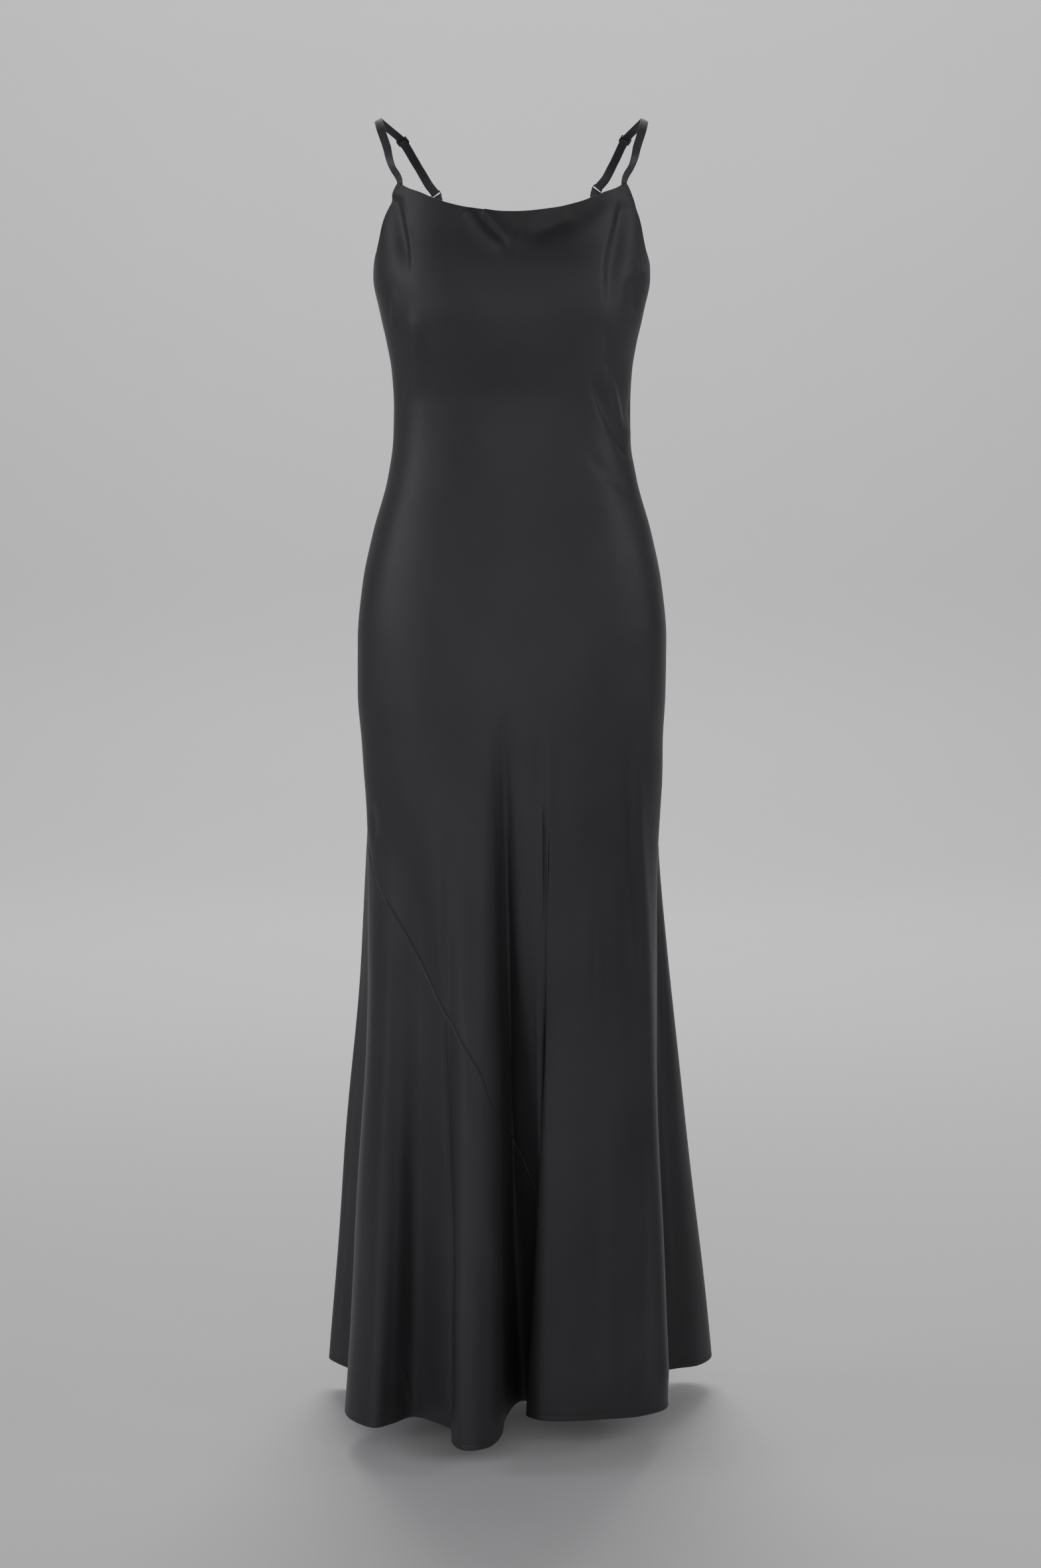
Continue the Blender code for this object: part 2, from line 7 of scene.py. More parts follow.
import bpy
import numpy as np
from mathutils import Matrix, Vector


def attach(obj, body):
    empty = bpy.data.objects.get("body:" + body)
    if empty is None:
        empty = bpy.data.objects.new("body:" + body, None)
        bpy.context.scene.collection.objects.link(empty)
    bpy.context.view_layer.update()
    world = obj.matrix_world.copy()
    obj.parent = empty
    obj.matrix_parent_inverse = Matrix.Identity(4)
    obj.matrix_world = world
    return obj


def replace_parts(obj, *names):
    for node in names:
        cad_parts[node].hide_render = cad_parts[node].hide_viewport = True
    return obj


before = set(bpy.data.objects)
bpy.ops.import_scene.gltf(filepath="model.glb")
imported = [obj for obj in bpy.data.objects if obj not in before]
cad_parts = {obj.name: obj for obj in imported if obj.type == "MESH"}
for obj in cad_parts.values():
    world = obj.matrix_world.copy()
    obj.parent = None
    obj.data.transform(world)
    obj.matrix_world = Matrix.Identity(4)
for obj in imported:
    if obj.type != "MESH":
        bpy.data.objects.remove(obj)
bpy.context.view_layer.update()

# Sizes shared with the solids, metres.
WALL = 0.0012  # panel cloth
HEM_Z = -1.388  # mean height of the hem
RING_POWER = 2.2  # squareness of the body ring, 2 is an ellipse
STRAP_WIDTH, STRAP_THICK = 0.0090, 0.0010
BAR_RADIUS = 0.0006  # slider and ring wire
CLEAR = 0.0003  # between strap, bars and panels
STRAP_OFFSET = BAR_RADIUS + CLEAR + STRAP_THICK / 2  # strap middle from the middle line
RING_LENGTH = 0.0048  # between the two bars of a ring, along the strap
SLIDER_LENGTH = 0.0082
STRAP_TUCK = 0.010  # strap and tab ends on the panels

# Sizes of the dressing alone, metres.
EDGE_TURN, HEM_TURN = 0.0045, 0.0070  # cloth turned in at the top edges and at the hem
EDGE_ROW = 0.0012  # first row inside a turned edge
TOP_GAP = 0.0008  # from a rounded top edge to the first row below it
NEAR_SEAM = (0.0003, 0.0007, 0.0012, 0.0019, 0.0028, 0.0042)  # columns and rows beside a seam
SEAM_HALF_GAP = 0.00012
SEAM_DEPTH, SEAM_REACH = 0.0010, 0.0013  # how deep and how wide a seam rolls inwards
SEAM_CALM, CALM_SHARE = (0.002, 0.020), 0.3  # creases shrink to this share near a seam
HEM_ROWS = (0.0200, 0.0120, 0.0085, 0.0068, 0.0058, 0.0048, 0.0034, 0.0016)  # above the hem
HEM_STITCH = 0.0058  # stitch line above the hem
STITCH, THREAD = 0.0030, 0.00030  # pitch and thickness of stitching
STITCH_SINK, SINK_REACH = 0.00030, 0.0009  # dent of a stitch line
STITCH_LENGTH = 0.78 * STITCH
STITCH_TAPER = ((0.0, 0.3), (0.3, 1.0), (0.7, 1.0), (1.0, 0.3))  # share of length, of thickness
FREE_START, FREE_END = 0.002, 0.004  # ends of a hem without stitches
HANG_DEPTH = 0.0006  # unevenness of the hanging cloth
HANG_WAVES = (
    # share, waves round the body, rate by height, phase
    (0.50, 7, 9.0, 0.4), (0.35, 11, -14.0, 1.9), (0.30, 3, 23.0, 2.2),
)
HANG_GROWS = (-0.35, -0.90)  # heights between which the unevenness doubles

# Sizes of the straps, metres.
REAR_BAR = 0.0050  # rear edge to the ring's rear bar
UNDER_EDGE = (-0.004, 0.003)  # places beside the front edge that the strap passes under
RISE_START, RISE_LENGTH = 0.008, 0.030  # behind the front edge, and how long the rise is
RISE_STOP, FLAT_START = 0.008, 0.004  # before the slider
NEAR_BAR, NEAR_TURN = 0.003, 0.002  # from a bar to the straight runs before and behind it
BEYOND = 0.3  # longer than any strap
BAND_STEP, SAME_PLACE = 0.0012, 1e-5  # most and least between two rows of a band
BAND_FACE = (
    # share of the half width, sunk by
    (0.0, 0.0), (0.35, 0.0), (0.62, 0.0), (0.70, 0.00014), (0.78, 0.0), (0.90, 0.0),
)
BAND_EDGE = np.linspace(0.4, np.pi - 0.4, 5)  # angles round a band's edge
TAB_STITCHES = (0.0016, 0.0088)  # rows of stitches behind the rear edge
CROSS_SHARE, CROSS_POINTS = 0.42, 60  # half width of a row in strap widths, and its points
CROSS_PITCH, CROSS_LENGTH, CROSS_FREE = 0.0017, 0.0014, 0.0016  # free at the row's end
RING_CORNER = 0.0008
UPPER_BARS = 0.8  # height of the slider's upper bars in bar thicknesses
SLIDER_ROUNDING = 0.00040

# How finely the cloth and straps are read and meshed.
LINE_STEP, HEIGHT_STEP = 0.02, 0.002  # half steps for slopes, in fold lines and in metres
STRAP_STEP = 0.05  # the same where a strap meets a panel, in fold lines
SAMPLES, SEAM_SAMPLES = 6000, 20  # round a panel, and those left out beside a seam
SPACING = ((-0.25, 0.55), (HEM_Z, 0.45))  # heights whose girths space the columns, and shares
ROW_CROWDING, MOST_LEAN = 1.25, 3  # rows crowd to the top edge, and follow a seam this steep
STRAP_SAMPLES, EASE_ROUNDS, EASE = 900, 60, 0.25  # a strap's line, and how it is eased
RISE_POINTS, FLAT_POINTS, RETURN_POINTS, TAB_POINTS = 26, 12, 11, 6  # of the straps' paths
ARC_POINTS = 17  # of a strap's half turn round a bar
INSET_COLUMNS, FRONT_COLUMNS, BACK_COLUMNS = 190, 140, 330
INSET_ROWS, FRONT_ROWS, BACK_ROWS = (0, 90), (165, 60), (140, 60)  # above and below the seam

# Stage, camera and light, metres.
FLOOR_Z = -1.425
FLOOR_FRONT, FLOOR_BACK, FLOOR_SIDE = -7.0, 5.0, 8.0
SWEEP, WALL_TOP = 0.8, FLOOR_Z + 5.5  # radius of the bend up into the wall, and its top
AIM = (0.0088, 0.0, -0.7026)
LENS, SENSOR = 68.72, 36.0  # millimetres
WHITE, VIOLET = (1.0, 1.0, 1.0), (1.0, 0.967, 1.03)
LIGHTS = (
    # name, place, aim, width and height, power, spread in degrees, colour
    ("key_left", (-2.0, -0.3, 0.3), (0.0, 0.0, -0.15), (0.9, 1.6), 3.2, 62.0, VIOLET),
    ("key_right", (2.0, -0.3, 0.4), (0.0, 0.0, -0.05), (0.9, 1.6), 2.2, 58.0, VIOLET),
    ("front_left", (-3.2, -2.5, -0.9), (0.0, 0.0, -1.25), (1.4, 1.6), 1.4, 24.0, VIOLET),
    ("front_right", (2.8, -2.9, 0.4), (0.0, 0.0, -0.55), (1.6, 2.0), 17.0, 180.0, WHITE),
    ("front", (0.0, -4.2, -0.1), (0.0, 0.0, -0.75), (4.4, 3.0), 74.0, 180.0, WHITE),
    ("rear", (0.0, 3.6, 3.0), (0.0, 0.0, -0.80), (3.0, 1.6), 90.0, 180.0, WHITE),
    ("back_wall", (0.0, 3.3, 2.8), (0.0, 5.6, -0.4), (6.0, 1.2), 130.0, 180.0, WHITE),
)
ROOM_COLOUR, ROOM_STRENGTH = (0.8, 0.8, 0.82, 1), 0.10

# Looks.
BIAS = 0.78  # turn of the thread from upright in the panels, radians
SATIN_SOCKETS = {
    "Sheen Weight": 0.02,
    "Sheen Roughness": 0.35,
    "Sheen Tint": (0.78, 0.76, 0.84, 1),
    "Specular IOR Level": 0.22,
}
SLUB_SCALE = (900.0, 30.0, 1.0)  # slubs run long along the thread
SLUB_SHARE, RAMP_START = 0.45, 0.45  # slubs in the colour, and where its ramp starts
SATIN_DRIFT, PLAIN_DRIFT = 0.05, 0.06  # of the roughness, to either side

# Body ring by height: reach to the left, right, front and back of the middle.
BODY = (
    # z, left, right, front, back
    (-0.050, 0.1330, 0.1330, 0.0940, 0.1100),
    (-0.077, 0.1375, 0.1375, 0.0990, 0.1120),
    (-0.120, 0.1440, 0.1430, 0.1060, 0.1135),
    (-0.165, 0.1465, 0.1450, 0.1170, 0.1125),
    (-0.200, 0.1400, 0.1388, 0.1200, 0.1100),
    (-0.236, 0.1320, 0.1306, 0.1145, 0.1060),
    (-0.264, 0.1272, 0.1264, 0.1070, 0.1010),
    (-0.300, 0.1250, 0.1250, 0.0985, 0.0955),
    (-0.334, 0.1258, 0.1254, 0.0965, 0.0950),
    (-0.376, 0.1318, 0.1317, 0.0985, 0.1000),
    (-0.433, 0.1476, 0.1475, 0.1040, 0.1110),
    (-0.489, 0.1592, 0.1590, 0.1090, 0.1205),
    (-0.546, 0.1644, 0.1643, 0.1115, 0.1260),
    (-0.603, 0.1647, 0.1636, 0.1120, 0.1265),
    (-0.660, 0.1605, 0.1606, 0.1110, 0.1240),
    (-0.748, 0.1565, 0.1600, 0.1090, 0.1215),
    (-0.900, 0.1585, 0.1660, 0.1040, 0.1350),
    (-1.150, 0.1730, 0.1800, 0.1000, 0.1600),
    (-1.420, 0.1900, 0.1960, 0.0960, 0.1880),
)

# Fold lines round the skirt, from the left side seam over the front to the right one and back
# over the rear. turn is the place on the body ring (0 left, 0.25 front, 0.5 right, 0.75 back).
# Each line leaves the ring at start_z and reaches hem_x, hem_y at the hem.
FOLDS = (
    # turn, start_z, growth, hem_x, hem_y, hem_dz
    (0.0000, -0.690, 1.00, -0.1600, 0.0750, 0.000),  # left side seam, in a valley
    (0.0300, -0.690, 1.05, -0.1810, 0.0120, 0.000),  # left flute, outer edge
    (0.0600, -0.690, 1.10, -0.1770, -0.0380, 0.000),
    (0.0896, -0.690, 1.20, -0.1500, -0.0740, 0.000),
    (0.1180, -0.690, 1.20, -0.1290, -0.0610, 0.000),
    (0.1480, -0.720, 1.20, -0.1060, -0.0350, 0.000),  # valley in the left flute
    (0.1740, -0.860, 1.00, -0.0740, -0.0620, -0.001),
    (0.1815, -0.900, 0.90, -0.0570, -0.0820, -0.004),  # tuck behind the middle flute
    (0.1860, -0.780, 1.00, -0.0640, -0.0960, -0.007),  # middle flute, left edge
    (0.1980, -0.740, 1.10, -0.0560, -0.1220, -0.008),
    (0.2110, -0.700, 1.10, -0.0400, -0.1270, -0.008),
    (0.2230, -0.670, 1.00, -0.0215, -0.1120, -0.008),
    (0.2305, -0.650, 0.90, -0.0110, -0.0810, -0.006),  # middle flute, right edge
    (0.2375, -0.630, 1.00, -0.0070, -0.0320, -0.003),
    (0.2445, -0.620, 1.10, 0.0040, 0.0120, 0.000),  # centre valley
    (0.2530, -0.630, 1.55, 0.0165, 0.0220, 0.000),
    (0.2690, -0.640, 1.80, 0.0300, -0.0080, 0.000),  # the inset ends here
    (0.2750, -0.640, 1.80, 0.0340, -0.0180, 0.000),  # lip of the slit
    (0.2790, -0.640, 2.00, 0.0430, 0.0040, 0.002),  # slit beside the right flute
    (0.2820, -0.640, 1.80, 0.0420, -0.0220, 0.004),
    (0.2860, -0.640, 1.60, 0.0160, -0.0470, 0.007),  # right flute, left edge
    (0.2980, -0.640, 1.40, 0.0290, -0.0720, 0.008),
    (0.3160, -0.640, 1.20, 0.0600, -0.0750, 0.008),
    (0.3450, -0.640, 1.20, 0.1000, -0.0620, 0.006),
    (0.3780, -0.640, 1.20, 0.1390, -0.0430, 0.003),
    (0.4104, -0.640, 1.10, 0.1680, -0.0060, 0.000),  # right flute, outer edge
    (0.4550, -0.680, 1.00, 0.1660, 0.0420, 0.000),
    (0.5000, -0.700, 1.00, 0.1520, 0.0900, 0.000),  # right side seam, in a valley
    (0.5120, -0.700, 1.00, 0.1640, 0.1280, 0.000),
    (0.5220, -0.700, 1.05, 0.1860, 0.1450, 0.000),  # right rear flute
    (0.5330, -0.700, 1.05, 0.2120, 0.1580, 0.000),
    (0.5450, -0.700, 1.05, 0.2290, 0.1880, 0.000),
    (0.5620, -0.700, 1.05, 0.2280, 0.2220, 0.000),
    (0.5850, -0.700, 1.10, 0.2040, 0.2440, 0.000),
    (0.6150, -0.720, 1.10, 0.1720, 0.2320, 0.000),
    (0.6430, -0.740, 1.10, 0.1440, 0.1940, 0.000),  # rear valley, right
    (0.6700, -0.740, 1.10, 0.1120, 0.1960, 0.000),
    (0.6960, -0.720, 1.10, 0.0880, 0.2300, 0.000),
    (0.7240, -0.700, 1.10, 0.0500, 0.2480, 0.000),
    (0.7500, -0.700, 1.10, 0.0160, 0.2300, 0.000),
    (0.7720, -0.740, 1.10, -0.0060, 0.1940, 0.000),  # rear valley, middle
    (0.7950, -0.740, 1.10, -0.0360, 0.1900, 0.000),
    (0.8190, -0.720, 1.10, -0.0640, 0.2220, 0.000),
    (0.8433, -0.700, 1.10, -0.1000, 0.2440, 0.000),
    (0.8720, -0.700, 1.10, -0.1340, 0.2260, 0.000),
    (0.9000, -0.720, 1.10, -0.1560, 0.2060, 0.000),  # rear valley, left
    (0.9250, -0.720, 1.10, -0.1840, 0.2160, 0.000),
    (0.9450, -0.700, 0.75, -0.2080, 0.2160, 0.000),  # left rear flute
    (0.9620, -0.700, 0.62, -0.2130, 0.1900, 0.000),
    (0.9760, -0.700, 0.62, -0.2020, 0.1680, 0.000),
    (0.9880, -0.700, 0.75, -0.1780, 0.1320, 0.000),
)
LEFT_SEAM, INSET_END, RIGHT_SEAM, ALL_ROUND = 0, 16, 27, len(FOLDS)

# Top edges, by the same turn: front armholes and neckline, rear armholes and rear edge.
FRONT_TOP = (
    # turn, z
    (0.0000, -0.1650), (0.0080, -0.1575), (0.0250, -0.1480), (0.0416, -0.1390),
    (0.0520, -0.1260), (0.0575, -0.1142), (0.0650, -0.1014), (0.0896, -0.0720),
    (0.0960, -0.0735), (0.1137, -0.0785), (0.1347, -0.0832), (0.1547, -0.0892),
    (0.1764, -0.0952), (0.2058, -0.1010), (0.2500, -0.1053),
)
FRONT_TOP += tuple((0.5 - turn, z) for turn, z in FRONT_TOP[-2::-1])  # the right half
REAR_TOP = (
    # turn, z
    (0.5000, -0.1650), (0.5130, -0.1560), (0.5300, -0.1470), (0.5600, -0.1280), (0.6000, -0.0990),
    (0.6430, -0.0705), (0.6750, -0.0880), (0.7200, -0.1030), (0.7500, -0.1070),
    (0.7900, -0.1030), (0.8200, -0.0900), (0.8433, -0.0765), (0.8850, -0.1010),
    (0.9400, -0.1280), (0.9700, -0.1470), (0.9870, -0.1560), (1.0000, -0.1650),
)
# Level where the upper rows end: along the diagonal seam as far as the inset's end.
SEAM_LEVEL = (
    # turn, z
    (0.0000, -0.7520), (0.0350, -0.7700), (0.0896, -0.8200), (0.1180, -0.8450),
    (0.1500, -0.8850), (0.1760, -0.9280), (0.1940, -0.9560), (0.2185, -1.0000),
    (0.2230, -1.0200), (0.2375, -1.0600), (0.2530, -1.0960), (0.2690, -1.1350), (0.2800, -1.1600),
    (0.3200, -1.1600), (0.5000, -1.1200), (0.7500, -0.9300), (1.0000, -0.7520),
)

# Middle line of each strap from its front panel to its rear one.
STRAPS = {
    # side: (front fold line, rear fold line, points x, y, z)
    "left": (3, 43, (
        (-0.1243, -0.0545, -0.0560), (-0.1291, -0.0425, -0.0365), (-0.1372, -0.0225, -0.0130),
        (-0.1404, 0.0020, -0.0022), (-0.1300, 0.0300, -0.0088), (-0.1169, 0.0500, -0.0186),
        (-0.1056, 0.0735, -0.0352), (-0.0915, 0.0885, -0.0580),
    )),
    "right": (25, 35, (
        (0.1243, -0.0545, -0.0545), (0.1290, -0.0425, -0.0360), (0.1362, -0.0225, -0.0130),
        (0.1388, 0.0020, -0.0022), (0.1310, 0.0290, -0.0078), (0.1203, 0.0500, -0.0172),
        (0.1115, 0.0725, -0.0335), (0.1010, 0.0860, -0.0530),
    )),
}
SHOULDER_MIDDLE = (0.090, 0.020, -0.100)  # strap faces point away from here, on each side
SLIDER_POINT = 5  # the strap point above that holds the slider

# Fine creases. Each path is where the crease is seen, read on the plane y = 0 by sight lines
# from EYE. height is out of the cloth (below 0, a trough), then its reach to the viewer's left
# and right of the path, and the share of the path over which it fades in and out.
EYE = np.array((0.0088, -3.2, -0.4026))
NOWHERE = 9.0  # further out than every crease
CREASE_SAMPLES, CREASE_FAR = 10, 3  # for each point of a path; in reaches, where a crease ends
FRONT_CREASES = (
    # height, left reach, right reach, fade in, fade out, path x, z
    # Below the left strap: a wide trough with a double ridge beside it.
    (-0.0050, 0.0110, 0.0062, 0.1, 0.5,
     ((-0.1233, -0.0765), (-0.1176, -0.1117), (-0.1127, -0.1433), (-0.1112, -0.172))),
    (0.0012, 0.0028, 0.0042, 0.1, 0.4,
     ((-0.1219, -0.0765), (-0.1141, -0.1117), (-0.107, -0.1468), (-0.1055, -0.17))),
    (0.0007, 0.0018, 0.0026, 0.3, 0.4,
     ((-0.117, -0.085), (-0.1105, -0.1117), (-0.104, -0.145))),
    # Left underarm and side.
    (0.0014, 0.0026, 0.0050, 0.3, 0.4,
     ((-0.127, -0.173), (-0.125, -0.2), (-0.1285, -0.225))),
    (0.0024, 0.0080, 0.0090, 0.4, 0.5,
     ((-0.107, -0.198), (-0.103, -0.22), (-0.105, -0.248))),
    (0.0017, 0.0032, 0.0100, 0.25, 0.5,
     ((-0.0985, -0.218), (-0.104, -0.256), (-0.115, -0.32))),
    # Neckline.
    (0.0029, 0.0080, 0.0036, 0.02, 0.35,
     ((-0.046, -0.094), (-0.029, -0.119), (-0.004, -0.137))),
    (-0.0012, 0.0020, 0.0020, 0.1, 0.4,
     ((-0.032, -0.099), (-0.019, -0.115), (-0.002, -0.134))),
    (0.0029, 0.0032, 0.0064, 0.02, 0.3,
     ((-0.031, -0.095), (-0.015, -0.113), (0.0, -0.132))),
    (0.0012, 0.0022, 0.0026, 0.4, 0.4, ((0.005, -0.113), (0.0052, -0.125), (0.0049, -0.138))),
    (-0.0042, 0.0100, 0.0100, 0.35, 0.3, ((0.0131, -0.1201), (0.0379, -0.112), (0.0685, -0.099))),
    (0.0020, 0.0120, 0.0100, 0.4, 0.3, ((0.052, -0.126), (0.086, -0.108), (0.113, -0.08))),
    # Below the right strap and under the right arm.
    (-0.0012, 0.0030, 0.0046, 0.1, 0.5,
     ((0.1165, -0.079), (0.111, -0.107), (0.101, -0.14), (0.095, -0.185))),
    (-0.0042, 0.0064, 0.0100, 0.1, 0.5, (
        (0.1203, -0.0835), (0.1125, -0.1223), (0.1061, -0.154), (0.1032, -0.189),
        (0.1039, -0.2172),
    )),
    (-0.0032, 0.0090, 0.0064, 0.3, 0.5, ((0.1253, -0.16), (0.1302, -0.182), (0.1324, -0.215))),
    (0.0009, 0.0018, 0.0026, 0.3, 0.4, ((0.1352, -0.14), (0.1345, -0.154), (0.139, -0.17))),
    (-0.0036, 0.0042, 0.0090, 0.3, 0.2, (
        (0.099, -0.21), (0.1033, -0.2454), (0.1132, -0.2735), (0.1203, -0.3017),
        (0.1239, -0.33),
    )),
    # Right waist.
    (-0.0032, 0.0038, 0.0090, 0.3, 0.2, (
        (0.0812, -0.262), (0.0898, -0.2876), (0.0983, -0.3087), (0.1089, -0.3298),
        (0.1281, -0.362),
    )),
    (-0.0020, 0.0028, 0.0080, 0.3, 0.2, ((0.074, -0.349), (0.098, -0.372), (0.127, -0.395))),
    (0.0014, 0.0060, 0.0080, 0.4, 0.4, ((0.1235, -0.4491), (0.134, -0.46), (0.1441, -0.4717))),
    # Skirt.
    (-0.0030, 0.0014, 0.0012, 0.25, 0.6,
     ((0.0338, -0.705), (0.0346, -0.78), (0.0349, -0.8605), (0.034, -0.9))),
    (0.0026, 0.0045, 0.0090, 0.3, 0.3,
     ((0.037, -0.61), (0.0385, -0.69), (0.0385, -0.86), (0.037, -0.98))),
    (-0.0016, 0.0080, 0.0040, 0.3, 0.3, ((0.027, -0.63), (0.0275, -0.69), (0.0275, -0.82))),
    (0.0030, 0.0050, 0.0070, 0.15, 0.05, (
        (0.1305, -0.6322), (0.1359, -0.7525), (0.1435, -0.8605), (0.1468, -0.962),
        (0.1501, -1.0788), (0.1578, -1.2051), (0.168, -1.38),
    )),
    (-0.0030, 0.0070, 0.0050, 0.2, 0.4,
     ((0.124, -0.6322), (0.128, -0.7525), (0.134, -0.8605), (0.137, -0.962))),
    (-0.0024, 0.0016, 0.0020, 0.2, 0.05, (
        (-0.07, -0.895), (-0.0731, -0.9657), (-0.0705, -1.0912), (-0.0664, -1.2051),
        (-0.0652, -1.2923), (-0.0654, -1.4053),
    )),
    (0.0010, 0.0020, 0.0030, 0.4, 0.3,
     ((-0.1248, -1.3294), (-0.117, -1.36), (-0.1105, -1.39))),
    (0.0012, 0.0060, 0.0060, 0.4, 0.4, ((0.081, -0.81), (0.0812, -0.89), (0.0814, -0.9591))),
    (0.0010, 0.0050, 0.0050, 0.4, 0.4, ((0.0925, -0.83), (0.0935, -0.9), (0.094, -0.9791))),
    (0.0020, 0.0110, 0.0110, 0.4, 0.1, ((0.1066, -1.0057), (0.1071, -1.17), (0.1076, -1.3868))),
    (0.0016, 0.0080, 0.0080, 0.4, 0.1, ((0.1404, -1.0057), (0.141, -1.17), (0.1417, -1.3868))),
    (0.0010, 0.0020, 0.0040, 0.4, 0.2, ((0.1258, -1.335), (0.1262, -1.356), (0.1259, -1.386))),
    (-0.0016, 0.0030, 0.0040, 0.3, 0.4,
     ((-0.1511, -0.722), (-0.149, -0.742), (-0.1476, -0.77))),
)
REAR_CREASES = (
    # The same, seen square on from behind and read on the plane y = 0.
    (0.0012, 0.005, 0.006, 0.3, 0.5, ((-0.093, -0.09), (-0.101, -0.135), (-0.108, -0.18))),
    (0.0012, 0.006, 0.005, 0.3, 0.5, ((0.093, -0.085), (0.101, -0.13), (0.109, -0.175))),
    (-0.0014, 0.008, 0.008, 0.3, 0.5, ((-0.07, -0.102), (-0.045, -0.118), (-0.015, -0.129))),
    (0.0016, 0.006, 0.006, 0.4, 0.4, ((0.06, -0.109), (0.033, -0.128), (0.006, -0.14))),
    (0.0018, 0.005, 0.008, 0.4, 0.4, ((-0.122, -0.205), (-0.108, -0.248), (-0.09, -0.285))),
    (0.0018, 0.008, 0.005, 0.4, 0.4, ((0.121, -0.215), (0.109, -0.26), (0.088, -0.297))),
    (0.0016, 0.005, 0.008, 0.4, 0.4, ((-0.12, -0.295), (-0.093, -0.325), (-0.062, -0.342))),
    (0.0018, 0.008, 0.005, 0.4, 0.4, ((0.122, -0.31), (0.096, -0.34), (0.06, -0.36))),
    (-0.0014, 0.008, 0.008, 0.4, 0.4, ((-0.05, -0.37), (0.0, -0.382), (0.05, -0.374))),
    (0.0012, 0.008, 0.008, 0.4, 0.4, ((-0.045, -0.358), (0.0, -0.37), (0.042, -0.364))),
    (0.0016, 0.009, 0.009, 0.4, 0.3, ((-0.042, -0.7), (-0.052, -0.9), (-0.06, -1.2))),
    (0.0016, 0.009, 0.009, 0.4, 0.3, ((0.07, -0.68), (0.082, -0.9), (0.095, -1.2))),
    (0.0014, 0.004, 0.006, 0.4, 0.2, ((-0.12, -0.86), (-0.131, -1.08), (-0.144, -1.3))),
    (0.0014, 0.006, 0.004, 0.4, 0.2, ((0.15, -0.88), (0.166, -1.1), (0.183, -1.32))),
)


def bend(xs, ys, x):
    """Smooth curve through the points that never overshoots them."""
    xs, ys = np.asarray(xs, float), np.asarray(ys, float)
    step = np.diff(xs)
    slope = np.diff(ys) / step
    product, total = slope[1:] * slope[:-1], slope[1:] + slope[:-1]
    inner = np.where(product > 0, 2 * product / np.where(total == 0, 1, total), 0)
    m = np.concatenate([slope[:1], inner, slope[-1:]])
    i = np.clip(np.searchsorted(xs, x, side="right") - 1, 0, len(step) - 1)
    t = (x - xs[i]) / step[i]
    a, b = ys[i], ys[i + 1]
    h = step[i]
    return (
        a * (2 * t**3 - 3 * t**2 + 1) + b * (3 * t**2 - 2 * t**3)
        + h * m[i] * (t**3 - 2 * t**2 + t) + h * m[i + 1] * (t**3 - t**2)
    )


def bent(at, rows, s):
    """Places at s on the smooth curve through rows, which are known at distances `at`."""
    return np.stack([bend(at, column, s) for column in rows.T], axis=-1)


def read_at(s, at, rows):
    """The same on straight lines between the rows."""
    return np.stack([np.interp(s, at, column) for column in rows.T], axis=-1)


def body_ring(turn, z):
    table = np.array(BODY)[::-1]
    left, right, front, rear = (bend(table[:, 0], table[:, k], z) for k in (1, 2, 3, 4))
    angle = 2 * np.pi * turn
    c, s = np.cos(angle), np.sin(angle)
    power = 2 / RING_POWER
    x = -np.sign(c) * np.abs(c) ** power * np.where(c > 0, left, right)
    y = -np.sign(s) * np.abs(s) ** power * np.where(s > 0, front, rear)
    return np.stack([x, y], axis=-1)


FOLD = np.array(FOLDS)
HEM_PULL = FOLD[:, 3:5] - body_ring(FOLD[:, 0], np.full(len(FOLD), HEM_Z))


def turn_at(line):
    """Turn at a place counted in fold lines, so 2.5 is half way from line 2 to line 3."""
    count = np.arange(-1, ALL_ROUND + 2)
    turns = FOLD[count % ALL_ROUND, 0] + count // ALL_ROUND
    return bend(count, turns, line)


def between(values, line):
    """Round spline through one value for each fold line, by height too if values has one."""
    i = np.floor(line).astype(int)
    t = (line - i)[..., None]
    p = [values(np.mod(i + k, ALL_ROUND)) for k in (-1, 0, 1, 2)]
    return 0.5 * (
        2 * p[1] + (p[2] - p[0]) * t + (2 * p[0] - 5 * p[1] + 4 * p[2] - p[3]) * t**2
        + (3 * p[1] - p[0] - 3 * p[2] + p[3]) * t**3
    )


def surface(line, z):
    """Master surface, the middle of the cloth, at fold line `line` and height z."""
    line, z = np.broadcast_arrays(np.asarray(line, float), np.asarray(z, float))

    def pull(k):
        start, growth = FOLD[k, 1], FOLD[k, 2]
        share = np.clip((start - z) / (start - HEM_Z), 0, None) ** growth
        return share[..., None] * HEM_PULL[k]

    xy = body_ring(turn_at(line), z) + between(pull, line)
    return np.concatenate([xy, z[..., None]], axis=-1)


def hem_at(line):
    return HEM_Z + between(lambda k: FOLD[k, 5:6], np.asarray(line, float))[..., 0]


def along(table, line):
    table = np.array(table)
    return bend(table[:, 0], table[:, 1], turn_at(line))


def unit(v):
    return v / np.linalg.norm(v, axis=-1, keepdims=True)


def smooth(low, high, x):
    t = np.clip((x - low) / (high - low), 0, 1)
    return t * t * (3 - 2 * t)


